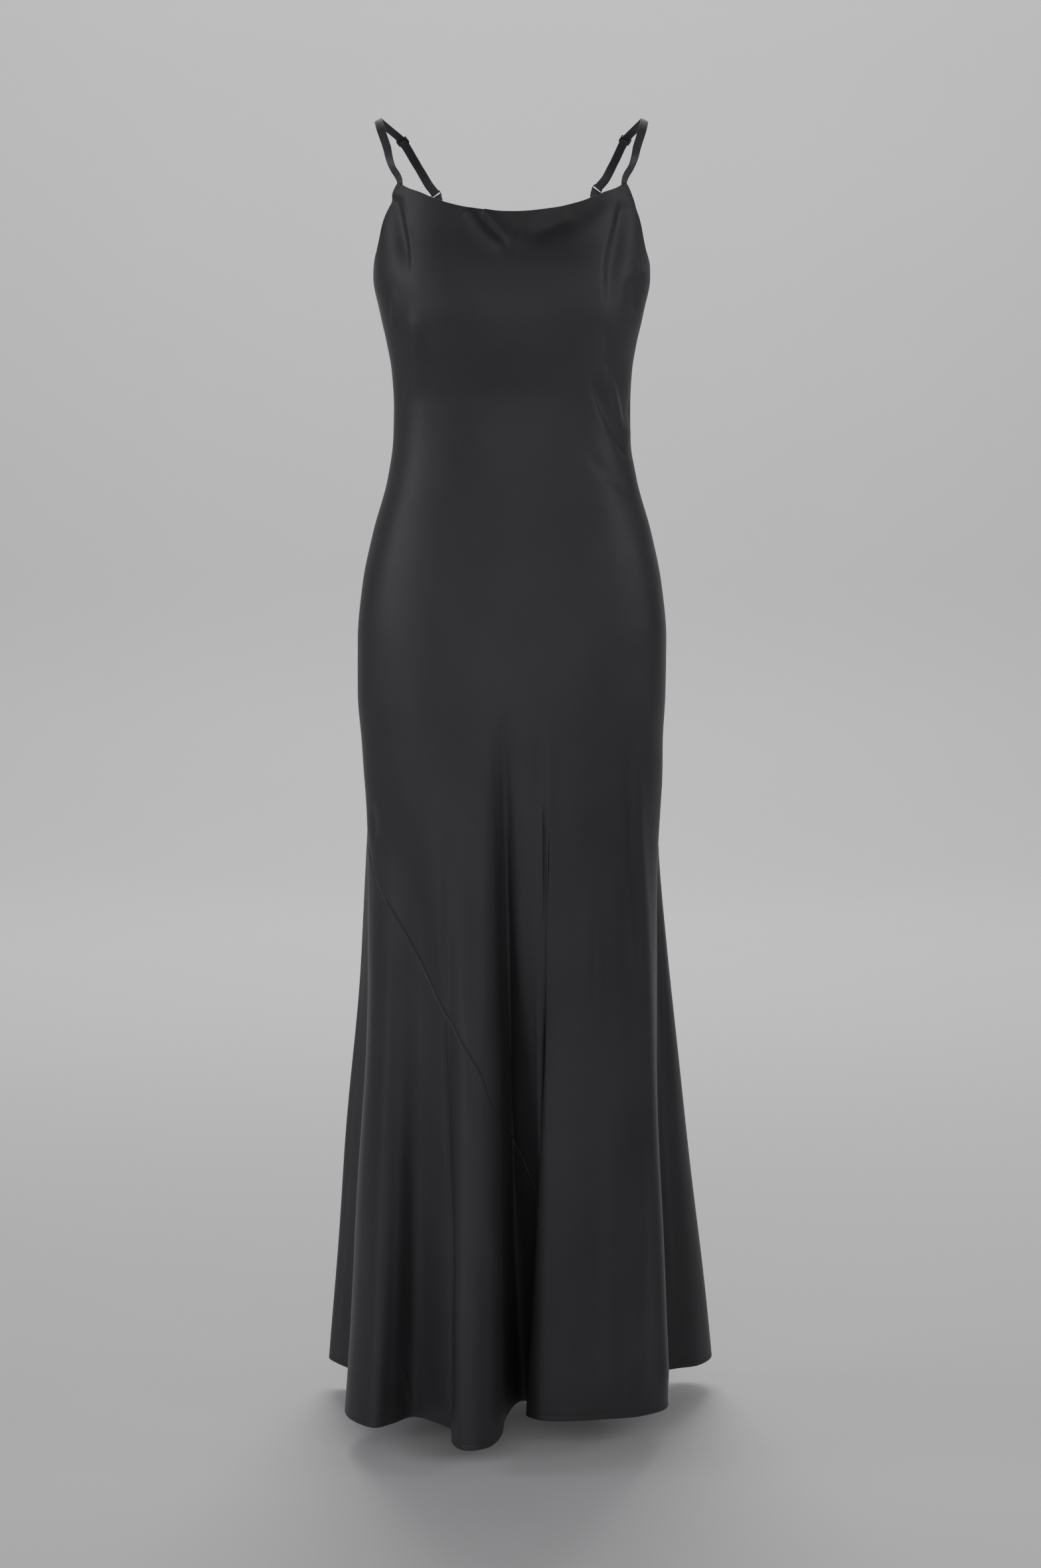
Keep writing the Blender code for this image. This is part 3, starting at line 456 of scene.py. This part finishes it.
def crease_depth(table, seen):
    """Sum of the creases of a table at places seen on the plane y = 0, an array of x and z."""
    flat = seen.reshape(-1, 2)
    total = np.zeros(len(flat))
    for height, left, right, fade_in, fade_out, path in table:
        path = np.array(path)
        dense = np.linspace(0, len(path) - 1, CREASE_SAMPLES * len(path))
        curve = bent(np.arange(len(path)), path, dense)
        reach = CREASE_FAR * max(left, right)
        low, high = curve.min(axis=0) - reach, curve.max(axis=0) + reach
        near = np.flatnonzero(((flat > low) & (flat < high)).all(axis=1))
        if not len(near):
            continue
        start, step = curve[:-1], np.diff(curve, axis=0)
        length = np.linalg.norm(step, axis=1)
        before = np.concatenate([[0], np.cumsum(length)])
        away = flat[near][:, None] - start
        t = np.clip((away * step).sum(axis=2) / length**2, 0, 1)
        gap = away - t[..., None] * step
        distance = np.linalg.norm(gap, axis=2)
        best = distance.argmin(axis=1)
        row = np.arange(len(near))
        share = (before[best] + t[row, best] * length[best]) / before[-1]
        down = step[best] / length[best, None]
        side = gap[row, best, 0] * -down[:, 1] + gap[row, best, 1] * down[:, 0]
        wide = np.where(side < 0, left, right)
        fade = smooth(0, fade_in, share) * smooth(0, fade_out, 1 - share)
        total[near] += height * fade * np.exp(-((distance[row, best] / wide) ** 2))
    return total.reshape(seen.shape[:-1])


def front_seen(points):
    share = -EYE[1] / (points[..., 1] - EYE[1])
    return EYE[[0, 2]] + (points[..., [0, 2]] - EYE[[0, 2]]) * share[..., None]


def hang(line, z):
    """Low, wide unevenness of hanging cloth, over the whole dress."""
    angle = 2 * np.pi * turn_at(line)
    waves = sum(
        share * np.sin(count * angle + rate * z + phase) for share, count, rate, phase in HANG_WAVES
    )
    return HANG_DEPTH * waves * (1 + smooth(*HANG_GROWS, z))


def seam_distance(line, z, rate):
    """How far the nearest seam is. rate is metres round the cloth for one fold line."""
    sides = [np.abs(line - k) * rate for k in (LEFT_SEAM, RIGHT_SEAM, ALL_ROUND)]
    nearest = np.minimum.reduce(sides)
    held = np.minimum(line, INSET_END)
    level = along(SEAM_LEVEL, held)
    before, after = held - LINE_STEP, held + LINE_STEP
    run = np.linalg.norm(surface(after, level) - surface(before, level), axis=-1)
    drop = along(SEAM_LEVEL, before) - along(SEAM_LEVEL, after)
    beside = np.abs(z - level) * run / np.hypot(run, drop)
    diagonal = np.hypot(beside, np.maximum(line - INSET_END, 0) * rate)
    over = np.maximum(z - along(SEAM_LEVEL, INSET_END), 0)
    upright = np.hypot(np.abs(line - INSET_END) * rate, over)
    front = np.minimum(diagonal, upright)
    return np.where(line < RIGHT_SEAM, np.minimum(nearest, front), nearest)


def cloth(line, z, up, out):
    """Points of the dress, moved up along the master surface and out of it, with all creases."""
    line, z = np.broadcast_arrays(np.asarray(line, float), np.asarray(z, float))
    points = surface(line, z)
    across = surface(line + LINE_STEP, z) - surface(line - LINE_STEP, z)
    rise = surface(line, z + HEIGHT_STEP) - surface(line, z - HEIGHT_STEP)
    normal = unit(np.cross(across, rise))
    rear = line > RIGHT_SEAM
    depth = np.where(
        rear,
        crease_depth(REAR_CREASES, np.where(rear[..., None], points[..., [0, 2]], NOWHERE)),
        crease_depth(FRONT_CREASES, np.where(rear[..., None], NOWHERE, front_seen(points))),
    )
    distance = seam_distance(line, z, np.linalg.norm(across, axis=-1) / (2 * LINE_STEP))
    calm = CALM_SHARE + (1 - CALM_SHARE) * smooth(*SEAM_CALM, distance)
    depth = depth * calm + hang(line, z) * calm
    depth -= SEAM_DEPTH * np.exp(-((distance / SEAM_REACH) ** 2))
    above = z - hem_at(line)
    depth -= STITCH_SINK * np.exp(-(((above - HEM_STITCH) / SINK_REACH) ** 2))
    up, out = np.asarray(up, float), np.asarray(out, float) + depth
    return points + unit(rise) * up[..., None] + normal * out[..., None]


NEAR = np.array((SEAM_HALF_GAP,) + NEAR_SEAM)
TURN = np.linspace(0, np.pi, 7)  # round a turned edge, from the outside to the inside


def segment(first, last, count):
    """Columns between two seams: near ones at fixed distances, the rest even round the cloth."""
    fine = np.linspace(first, last, SAMPLES)
    reach = np.zeros(len(fine))
    for z, weight in SPACING:
        steps = np.linalg.norm(np.diff(surface(fine, z), axis=0), axis=1)
        reach[1:] += weight * np.cumsum(steps)
    inner = np.linspace(NEAR[-1], reach[-1] - NEAR[-1], count)[1:-1]
    return np.interp(np.concatenate([NEAR, inner, reach[-1] - NEAR[::-1]]), reach, fine)


def edge_rows(edge, sign, turned):
    """Rows over a turned edge from the outside inwards: height, up and out. sign is 1 at a top."""
    radius = WALL / 2
    back = edge - sign * radius
    rows = [(back, sign * radius * np.sin(a), radius * np.cos(a)) for a in TURN]
    return rows + [(back - sign * d, 0.0, -radius) for d in (EDGE_ROW, turned / 2, turned)]


def rows_of(lines, top, upper, lower, begins_low=False, seam_rows=True):
    """Heights, ups and outs of a panel's rows, from its top edge to its hem."""
    level, hem, half = along(SEAM_LEVEL, lines), hem_at(lines), WALL / 2
    run = np.linalg.norm(np.gradient(surface(lines, level)[:, :2], axis=0), axis=1)
    lean = np.hypot(1, np.minimum(np.abs(np.gradient(level)) / run, MOST_LEAN))
    rows = []
    if not begins_low:
        edge = along(top, lines)
        rows += edge_rows(edge, 1, EDGE_TURN)[::-1]
        start, stop = edge - half - TOP_GAP, level + NEAR[-1] * lean
        shares = np.linspace(0, 1, upper) ** ROW_CROWDING
        rows += [(start + (stop - start) * share, 0.0, half) for share in shares]
        if seam_rows:
            rows += [(level + d * lean, 0.0, half) for d in NEAR[-2::-1]]
    seam_row = len(rows)
    if seam_rows:
        rows += [(level - d * lean, 0.0, half) for d in NEAR]
    start, stop = rows[-1][0], hem + HEM_ROWS[0]
    shares = np.linspace(0, 1, lower + 1)[1:]
    rows += [(start + (stop - start) * share, 0.0, half) for share in shares]
    rows += [(hem + d, 0.0, half) for d in HEM_ROWS[1:]]
    rows += edge_rows(hem, -1, HEM_TURN)
    z, up, out = (
        np.array([np.broadcast_to(row[k], lines.shape) for row in rows]) for k in range(3)
    )
    return z, up, out, seam_row


def grid_faces(rows, columns):
    r, c = np.meshgrid(np.arange(rows - 1), np.arange(columns - 1), indexing="ij")
    a, b = r * columns + c, (r + 1) * columns + c
    return np.stack([a, b, b + 1, a + 1], axis=-1)


def new_object(name, data):
    made = bpy.data.objects.new(name, data)
    bpy.context.scene.collection.objects.link(made)
    return made


def piece(name, points, faces, look, uv=None):
    """Smooth mesh piece on the root body. uv is one place for each point."""
    points, faces = np.asarray(points, float).reshape(-1, 3), np.asarray(faces).reshape(-1, 4)
    used = np.unique(faces)
    place = np.zeros(len(points), int)
    place[used] = np.arange(len(used))
    mesh = bpy.data.meshes.new(name)
    mesh.from_pydata(points[used].tolist(), [], place[faces].tolist())
    mesh.shade_smooth()
    if uv is not None:
        layer = mesh.uv_layers.new(name="cut")
        corner = np.empty(len(mesh.loops), np.int32)
        mesh.loops.foreach_get("vertex_index", corner)
        layer.data.foreach_set("uv", np.asarray(uv).reshape(-1, 2)[used][corner].ravel())
    mesh.materials.append(look)
    obj = new_object(name, mesh)
    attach(obj, "root")
    return obj


def length_along(points, axis=0):
    """Distance from the first point to each one, along one axis of an array of points."""
    steps = np.linalg.norm(np.diff(points, axis=axis), axis=-1)
    ahead = [(1, 0) if k == axis else (0, 0) for k in range(steps.ndim)]
    return np.pad(np.cumsum(steps, axis=axis), ahead)


def cut_places(points):
    """Distances along the rows from the middle column and down the columns, for the weave."""
    u = length_along(points, 1)
    u -= u[:, u.shape[1] // 2][:, None]
    return np.stack([u, -length_along(points)], axis=-1)


def make_panel(name, node, lines, rows, keep, look):
    """One cloth panel in place of its node. keep says which cells it has, from whether they lie
    below the seam level and from the fold line that they begin at."""
    z, up, out, seam_row = rows
    points = cloth(np.broadcast_to(lines, z.shape), z, up, out)
    faces = grid_faces(*z.shape)
    below = np.arange(len(z) - 1)[:, None] >= seam_row - 1
    faces = faces[keep(below, lines[:-1][None, :])]
    made = piece(name, points, faces, look, cut_places(points))
    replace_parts(made, node)
    return made


def stitch_line(name, lines, look):
    """Row of raised thread stitches round the cloth, above the hem."""
    fine = np.linspace(lines[0], lines[-1], SAMPLES)[SEAM_SAMPLES:-SEAM_SAMPLES]
    track = cloth(fine, hem_at(fine) + HEM_STITCH, 0.0, WALL / 2 + THREAD / 4)
    reach = length_along(track)
    starts = np.arange(FREE_START, reach[-1] - FREE_END, STITCH)
    return thread(name, track, reach, starts, look, STITCH_LENGTH)


def thread(name, track, reach, starts, look, length):
    """Stitches along a track: each one a short bump of thread that tapers at its ends."""
    ring = ((1, 0), (0, 1), (-1, 0), (0, -1))
    points, faces = [], []
    for begin in starts:
        a, b = read_at(np.array([begin, begin + length]), reach, track)
        ahead = unit(b - a)
        side = unit(np.cross(ahead, (0.0, 0.0, 1.0))) * THREAD / 2
        lift = np.cross(side, ahead)
        base = len(points)
        for share, size in STITCH_TAPER:
            middle = a + (b - a) * share
            points += [middle + size * (side * c + lift * s) for c, s in ring]
        for first in range(base, len(points) - 4, 4):
            for k in range(4):
                p, q = first + k, first + (k + 1) % 4
                faces.append((p, q, q + 4, p + 4))
    return piece(name, points, faces, look)


class StrapLine:
    """Middle line of a strap with its facing, read by distance from the front end."""

    def __init__(self, side):
        front, rear, points = STRAPS[side]
        sign = -1 if side == "left" else 1
        knots, faces = [], []
        for line, top, drops in (
            (front, FRONT_TOP, (2 * STRAP_TUCK, STRAP_TUCK, 0)),
            (rear, REAR_TOP, (0, STRAP_TUCK, 2 * STRAP_TUCK)),
        ):
            edge = float(along(top, float(line)))
            ends = [surface(float(line), edge - d) for d in drops]
            across = surface(line + STRAP_STEP, edge) - surface(line - STRAP_STEP, edge)
            out = unit(np.cross(across, ends[0] - ends[-1]))
            if np.dot(out[:2], ends[0][:2]) < 0:
                out = -out
            if line == rear:
                middle = np.array(SHOULDER_MIDDLE) * (sign, 1, 1)
                for p in np.array(points):
                    knots.append(p)
                    faces.append(unit(p - middle))
                faces[3], faces[-1] = faces[2], out  # no twist next to either panel
            knots += ends
            faces += [out] * len(ends)
        knots, faces = np.array(knots), np.array(faces)
        reach = length_along(knots)
        dense = np.linspace(0, reach[-1], STRAP_SAMPLES)
        line = bent(reach, knots, dense)
        for _ in range(EASE_ROUNDS):
            line[1:-1] += EASE * (line[:-2] - 2 * line[1:-1] + line[2:])
        self.at = length_along(line)
        self.line = line
        self.along = unit(np.gradient(line, axis=0))
        out = read_at(dense, reach, faces)
        out -= self.along * (out * self.along).sum(axis=1, keepdims=True)
        self.out = unit(out)
        # The third knot from each end is on a panel's edge.
        marks = reach[[2, 3 + SLIDER_POINT, -3]]
        self.front_edge, self.slider, self.rear_edge = map(float, np.interp(marks, dense, self.at))
        self.rear_bar = self.rear_edge - REAR_BAR
        self.front_bar = self.rear_bar - RING_LENGTH

    def frame(self, s):
        rows = (self.line, self.along, self.out)
        line, forward, out = (read_at(s, self.at, row) for row in rows)
        forward, out = unit(forward), unit(out)
        return line, forward, out, np.cross(forward, out)

    def place(self, s, across, height):
        line, _, out, side = self.frame(s)
        return line + side * across + out * height


def half_turn(s, sign):
    """Half circle round a bar at distance s, from the outer layer to the inner one."""
    angle = np.linspace(0, np.pi, ARC_POINTS)
    return [(s + sign * STRAP_OFFSET * np.sin(a), STRAP_OFFSET * np.cos(a)) for a in angle]


def densely(path):
    """The same path, a list of distance and height, with points at most BAND_STEP apart."""
    path = np.array(path)
    reach = length_along(path)
    even = np.unique(np.concatenate([reach, np.arange(0, reach[-1], BAND_STEP)]))
    even = even[np.concatenate([[True], np.diff(even) > SAME_PLACE])]
    return bent(reach, path, even)


def band_frame(strap, path):
    line, forward, out, side = strap.frame(path[:, 0])
    step = unit(np.gradient(path, axis=0))
    return line + out * path[:, 1:], side, out * step[:, :1] - forward * step[:, 1:]


def ribbon(name, node, strap, path, look):
    """Flat woven band with rounded edges and a stitch groove near each edge, along path."""
    middle, side, face = band_frame(strap, densely(path))
    half_w, half_t = STRAP_WIDTH / 2, STRAP_THICK / 2
    bow = [(share * half_w, half_t - sunk) for share, sunk in BAND_FACE]
    edge = [(half_w - half_t * (1 - np.sin(a)), half_t * np.cos(a)) for a in BAND_EDGE]
    right = bow + edge + [(x, -y) for x, y in bow[::-1]]
    ring = np.array(right + [(-x, y) for x, y in right[::-1]][1:-1])
    points = middle[:, None] + side[:, None] * ring[None, :, :1] + face[:, None] * ring[None, :, 1:]
    rows, columns = points.shape[:2]
    first = np.arange(rows - 1)[:, None] * columns
    a, b = first + np.arange(columns), first + (np.arange(columns) + 1) % columns
    faces = np.stack([a, b, b + columns, a + columns], axis=-1)[..., ::-1]
    girth, length = length_along(ring), length_along(middle)
    uv = np.stack(np.broadcast_arrays(girth[None, :], -length[:, None]), axis=-1)
    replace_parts(piece(name, points, faces, look, uv), node)


def across_stitches(name, strap, places, height, look):
    """A row of stitches across a strap at each place, a distance along it."""
    wide = CROSS_SHARE * STRAP_WIDTH * np.linspace(-1, 1, CROSS_POINTS)[:, None]
    for k, s in enumerate(places):
        track = strap.place(np.full(CROSS_POINTS, s), wide, height)
        reach = length_along(track)
        starts = np.arange(0.0, reach[-1] - CROSS_FREE, CROSS_PITCH)
        thread(f"{name}_{k}", track, reach, starts, look, CROSS_LENGTH)


def wire(name, node, strap, track, look):
    """Closed round wire on a track of distance, across and height, on the strap's middle line."""
    track = np.array(track)
    flat = strap.place(track[:, 0], track[:, 1:2], track[:, 2:3])
    curve = bpy.data.curves.new(name, "CURVE")
    curve.dimensions = "3D"
    line = curve.splines.new("POLY")
    line.points.add(len(flat) - 1)
    for point, place in zip(line.points, flat):
        point.co = (*map(float, place), 1)
    line.use_cyclic_u = True
    curve.bevel_depth, curve.bevel_resolution = BAR_RADIUS, 5
    curve.materials.append(look)
    made = new_object(name, curve)
    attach(made, "root")
    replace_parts(made, node)


def strap_paths(strap):
    """Paths of the doubled strap and of the ring's tab, lists of distance and height."""
    high, under = STRAP_OFFSET, -(WALL / 2 + 2 * CLEAR + STRAP_THICK / 2)
    tuck, rise = strap.front_edge - STRAP_TUCK, strap.front_edge + RISE_START
    over = np.linspace(rise, strap.slider - RISE_STOP, RISE_POINTS)
    flat = np.linspace(strap.slider - FLAT_START, strap.front_bar - NEAR_BAR, FLAT_POINTS)
    back = np.linspace(strap.front_bar - NEAR_BAR, strap.slider + NEAR_TURN, RETURN_POINTS)
    path = [(s, under) for s in (tuck, *(strap.front_edge + d for d in UNDER_EDGE))]
    path += zip(over, bend([0, RISE_LENGTH, BEYOND], [under, high, high], over - rise))
    path += [(s, high) for s in flat] + half_turn(strap.front_bar, 1) + [(s, -high) for s in back]
    path += [
        (strap.slider - high * np.sin(a), -high * np.cos(a)) for a in np.linspace(0, np.pi / 2, 7)
    ]
    down = np.linspace(strap.rear_bar + NEAR_TURN, strap.rear_edge + STRAP_TUCK, TAB_POINTS)
    tab = [(s, high) for s in down[::-1]] + half_turn(strap.rear_bar, -1)
    return path, tab + [(s, -high) for s in down]


def make_ring(side, strap, look):
    middle = (strap.front_bar + strap.rear_bar) / 2
    long, wide = RING_LENGTH / 2 - RING_CORNER, STRAP_WIDTH / 2 + CLEAR
    track = []
    for sx, sy, begin in ((1, 1, 0), (-1, 1, 90), (-1, -1, 180), (1, -1, 270)):
        for angle in np.radians(begin + np.arange(0, 91, 15)):
            track.append((
                middle + sx * long + RING_CORNER * np.cos(angle),
                sy * wide + RING_CORNER * np.sin(angle),
                0.0,
            ))
    wire(f"ring_wire_{side}", f"ring_{side}", strap, track, look)


def blocks(name, strap, marks, filled, look):
    """Closed solid made of the filled cells of a small grid bent onto the strap's line."""
    sides = (
        ((-1, 0, 0), ((0, 0, 0), (0, 0, 1), (0, 1, 1), (0, 1, 0))),
        ((1, 0, 0), ((1, 0, 0), (1, 1, 0), (1, 1, 1), (1, 0, 1))),
        ((0, -1, 0), ((0, 0, 0), (1, 0, 0), (1, 0, 1), (0, 0, 1))),
        ((0, 1, 0), ((0, 1, 0), (0, 1, 1), (1, 1, 1), (1, 1, 0))),
        ((0, 0, -1), ((0, 0, 0), (0, 1, 0), (1, 1, 0), (1, 0, 0))),
        ((0, 0, 1), ((0, 0, 1), (1, 0, 1), (1, 1, 1), (0, 1, 1))),
    )
    places, points, faces = {}, [], []
    for cell in sorted(filled):
        for step, ring in sides:
            if tuple(a + b for a, b in zip(cell, step)) in filled:
                continue
            face = []
            for offset in ring:
                key = tuple(a + b for a, b in zip(cell, offset))
                if key not in places:
                    places[key] = len(points)
                    s, across, height = (marks[a][key[a]] for a in range(3))
                    points.append(strap.place(s, across, height))
                face.append(places[key])
            faces.append(face)
    obj = piece(name, points, faces, look)
    volume = sum(
        np.dot(points[f[0]], np.cross(points[f[i]], points[f[i + 1]]))
        for f in faces for i in (1, 2)
    )
    if volume < 0:
        obj.data.flip_normals()
    return obj


def make_slider(side, strap, look):
    """Three bars between two rails: the strap rides over the middle bar and under the others."""
    thick, half, inner = 2 * BAR_RADIUS, SLIDER_LENGTH / 2, STRAP_WIDTH / 2 + CLEAR
    above = STRAP_OFFSET + STRAP_THICK / 2 + CLEAR
    marks = (
        strap.slider + np.array([-half, thick - half, -thick / 2, thick / 2, half - thick, half]),
        np.array([-inner - thick, -inner, inner, inner + thick]),
        np.array([-BAR_RADIUS, BAR_RADIUS, above, above + thick * UPPER_BARS]),
    )
    filled = {(i, j, k) for i in range(5) for j in (0, 2) for k in range(3)}
    filled |= {(0, 1, 2), (4, 1, 2), (2, 1, 0)}
    made = blocks(f"slider_frame_{side}", strap, marks, filled, look)
    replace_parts(made, f"slider_{side}")
    rounding = made.modifiers.new("rounding", "BEVEL")
    rounding.width, rounding.segments = SLIDER_ROUNDING, 4


def make_strap(side, cloth_look, metal, thread_look):
    strap = StrapLine(side)
    band, tab = strap_paths(strap)
    ribbon(f"strap_band_{side}", f"strap_{side}", strap, band, cloth_look)
    ribbon(f"tab_band_{side}", f"strap_tab_{side}", strap, tab, cloth_look)
    rows = [strap.rear_edge + d for d in TAB_STITCHES]
    outside = STRAP_OFFSET + STRAP_THICK / 2
    across_stitches(f"tab_stitches_{side}", strap, rows, outside, thread_look)
    make_ring(side, strap, metal)
    make_slider(side, strap, metal)


def node_of(tree, kind, **values):
    """New shader node with the values of its sockets or settings."""
    made = tree.nodes.new(kind)
    for name, value in values.items():
        if name in made.inputs:
            made.inputs[name].default_value = value
        else:
            setattr(made, name, value)
    return made


def new_look(name):
    look = bpy.data.materials.new(name)
    look.use_nodes = True
    tree = look.node_tree
    return look, tree, tree.links.new, tree.nodes["Principled BSDF"]


def shade(tree, source, dark, light, start=0.0):
    """Colour from dark to light by a source from 0 to 1, dark as far as start."""
    made = node_of(tree, "ShaderNodeValToRGB")
    first, last = made.color_ramp.elements
    first.position, first.color, last.color = start, (*dark, 1), (*light, 1)
    tree.links.new(source, made.inputs["Fac"])
    return made.outputs["Color"]


def drifting(tree, source, value, drift):
    """A value that drifts to either side with a source from 0 to 1."""
    ends = {"To Min": value - drift, "To Max": value + drift}
    made = node_of(tree, "ShaderNodeMapRange", **ends)
    tree.links.new(source, made.inputs["Value"])
    return made.outputs["Result"]


def satin(name, dark, light, roughness, weave, turn):
    """Dull satin: a fine twill bump, soft slubs along the thread and slight colour drift."""
    look, tree, link, shader = new_look(name)
    for socket, value in SATIN_SOCKETS.items():
        shader.inputs[socket].default_value = value
    place = node_of(tree, "ShaderNodeTexCoord")
    thread_way = node_of(tree, "ShaderNodeMapping", Rotation=(0, 0, turn))
    link(place.outputs["UV"], thread_way.inputs["Vector"])

    drift = node_of(tree, "ShaderNodeTexNoise", Scale=7.0, Detail=3.0, Roughness=0.5)
    link(thread_way.outputs["Vector"], drift.inputs["Vector"])
    slub_way = node_of(tree, "ShaderNodeMapping", Scale=SLUB_SCALE)
    link(thread_way.outputs["Vector"], slub_way.inputs["Vector"])
    slub = node_of(tree, "ShaderNodeTexNoise", Scale=1.0, Detail=4.0, Roughness=0.6)
    link(slub_way.outputs["Vector"], slub.inputs["Vector"])
    mix = node_of(tree, "ShaderNodeMath", operation="MULTIPLY_ADD")
    mix.inputs[1].default_value = SLUB_SHARE
    link(slub.outputs["Fac"], mix.inputs[0])
    link(drift.outputs["Fac"], mix.inputs[2])
    colour = shade(tree, mix.outputs["Value"], dark, light, RAMP_START)
    link(colour, shader.inputs["Base Color"])
    rough = drifting(tree, slub.outputs["Fac"], roughness, SATIN_DRIFT)
    link(rough, shader.inputs["Roughness"])

    twill = node_of(tree, "ShaderNodeTexWave", Scale=weave, Distortion=1.2, Detail=1.0)
    link(thread_way.outputs["Vector"], twill.inputs["Vector"])
    fine = node_of(tree, "ShaderNodeBump", Strength=0.10, Distance=0.00006)
    link(twill.outputs["Fac"], fine.inputs["Height"])
    slubs = node_of(tree, "ShaderNodeBump", Strength=0.10, Distance=0.00010)
    link(slub.outputs["Fac"], slubs.inputs["Height"])
    link(fine.outputs["Normal"], slubs.inputs["Normal"])
    link(slubs.outputs["Normal"], shader.inputs["Normal"])
    return look


def plain(name, dark, light, roughness, metallic, grain, bump):
    """Painted metal, thread or floor with a slight grain."""
    look, tree, link, shader = new_look(name)
    shader.inputs["Metallic"].default_value = metallic
    place = node_of(tree, "ShaderNodeTexCoord")
    noise = node_of(tree, "ShaderNodeTexNoise", Scale=grain, Detail=3.0)
    link(place.outputs["Object"], noise.inputs["Vector"])
    link(shade(tree, noise.outputs["Fac"], dark, light), shader.inputs["Base Color"])
    rough = drifting(tree, noise.outputs["Fac"], roughness, PLAIN_DRIFT)
    link(rough, shader.inputs["Roughness"])
    raised = node_of(tree, "ShaderNodeBump", Strength=0.15, Distance=bump)
    link(noise.outputs["Fac"], raised.inputs["Height"])
    link(raised.outputs["Normal"], shader.inputs["Normal"])
    return look


def look_from(place, aim):
    return (Vector(aim) - Vector(place)).to_track_quat("-Z", "Y").to_euler()


def softbox(name, place, aim, size, power, spread, colour):
    lamp = bpy.data.lights.new(name, "AREA")
    lamp.shape = "RECTANGLE"
    lamp.size, lamp.size_y = size
    lamp.energy, lamp.spread, lamp.color = power, np.radians(spread), colour
    made = new_object(name, lamp)
    made.location, made.rotation_euler = place, look_from(place, aim)


def make_stage():
    """Pale floor that curves up into a pale wall behind the dress."""
    floor_look = plain(
        "pale_floor", dark=(0.80, 0.80, 0.81), light=(0.83, 0.83, 0.84),
        roughness=0.6, metallic=0.0, grain=3.0, bump=0.0002,
    )
    profile = [(FLOOR_FRONT, FLOOR_Z), (FLOOR_BACK, FLOOR_Z)]
    for a in np.linspace(0, np.pi / 2, 16)[1:]:
        profile.append((FLOOR_BACK + SWEEP * np.sin(a), FLOOR_Z + SWEEP * (1 - np.cos(a))))
    profile.append((FLOOR_BACK + SWEEP, WALL_TOP))
    mesh = bpy.data.meshes.new("stage_floor")
    points = [(x, float(y), float(z)) for y, z in profile for x in (-FLOOR_SIDE, FLOOR_SIDE)]
    faces = [(2 * i, 2 * i + 1, 2 * i + 3, 2 * i + 2) for i in range(len(profile) - 1)]
    mesh.from_pydata(points, [], faces)
    mesh.shade_smooth()
    mesh.materials.append(floor_look)
    new_object("stage_floor", mesh)


def make_camera():
    camera = bpy.data.cameras.new("front_camera")
    camera.sensor_fit = "VERTICAL"
    camera.sensor_height, camera.lens = SENSOR, LENS
    made = new_object("front_camera", camera)
    made.location, made.rotation_euler = EYE, look_from(EYE, AIM)
    bpy.context.scene.camera = made


def make_room():
    world = bpy.data.worlds.new("studio")
    world.use_nodes = True
    background = world.node_tree.nodes["Background"]
    background.inputs["Color"].default_value = ROOM_COLOUR
    background.inputs["Strength"].default_value = ROOM_STRENGTH
    bpy.context.scene.world = world


CHARCOAL = satin(
    "charcoal_satin_cloth", dark=(0.023, 0.023, 0.0245), light=(0.032, 0.032, 0.035),
    roughness=0.50, weave=900.0, turn=BIAS,
)
BAND = satin(
    "strap_satin_cloth", dark=(0.034, 0.033, 0.037), light=(0.045, 0.044, 0.050),
    roughness=0.50, weave=1400.0, turn=0.0,
)
METAL = plain(
    "dark_slider_paint", dark=(0.020, 0.020, 0.022), light=(0.035, 0.035, 0.038),
    roughness=0.34, metallic=0.6, grain=900.0, bump=0.00003,
)
THREAD_LOOK = plain(
    "charcoal_thread", dark=(0.020, 0.020, 0.022), light=(0.034, 0.034, 0.037),
    roughness=0.6, metallic=0.0, grain=2500.0, bump=0.00005,
)

make_camera()
inset_lines = segment(LEFT_SEAM, INSET_END, INSET_COLUMNS)
right_lines = segment(INSET_END, RIGHT_SEAM, FRONT_COLUMNS)
front_lines = np.concatenate([inset_lines, right_lines])
back_lines = segment(RIGHT_SEAM, ALL_ROUND, BACK_COLUMNS)

front = make_panel(
    "front_cloth", "front_panel", front_lines, rows_of(front_lines, FRONT_TOP, *FRONT_ROWS),
    lambda below, line: ~below | (line > INSET_END), CHARCOAL,
)
inset = make_panel(
    "inset_cloth", "skirt_inset", inset_lines,
    rows_of(inset_lines, FRONT_TOP, *INSET_ROWS, begins_low=True),
    lambda below, line: below | (line < INSET_END), CHARCOAL,
)
back = make_panel(
    "back_cloth", "back_panel", back_lines,
    rows_of(back_lines, REAR_TOP, *BACK_ROWS, seam_rows=False),
    lambda below, line: below | (line > 0), CHARCOAL,
)
hems = {"inset": inset_lines, "front": right_lines, "back": back_lines}
stitches = {
    side: stitch_line(f"hem_stitches_{side}", lines, THREAD_LOOK) for side, lines in hems.items()
}
for side in STRAPS:
    make_strap(side, BAND, METAL, THREAD_LOOK)

make_stage()
for light in LIGHTS:
    softbox(*light)
make_room()
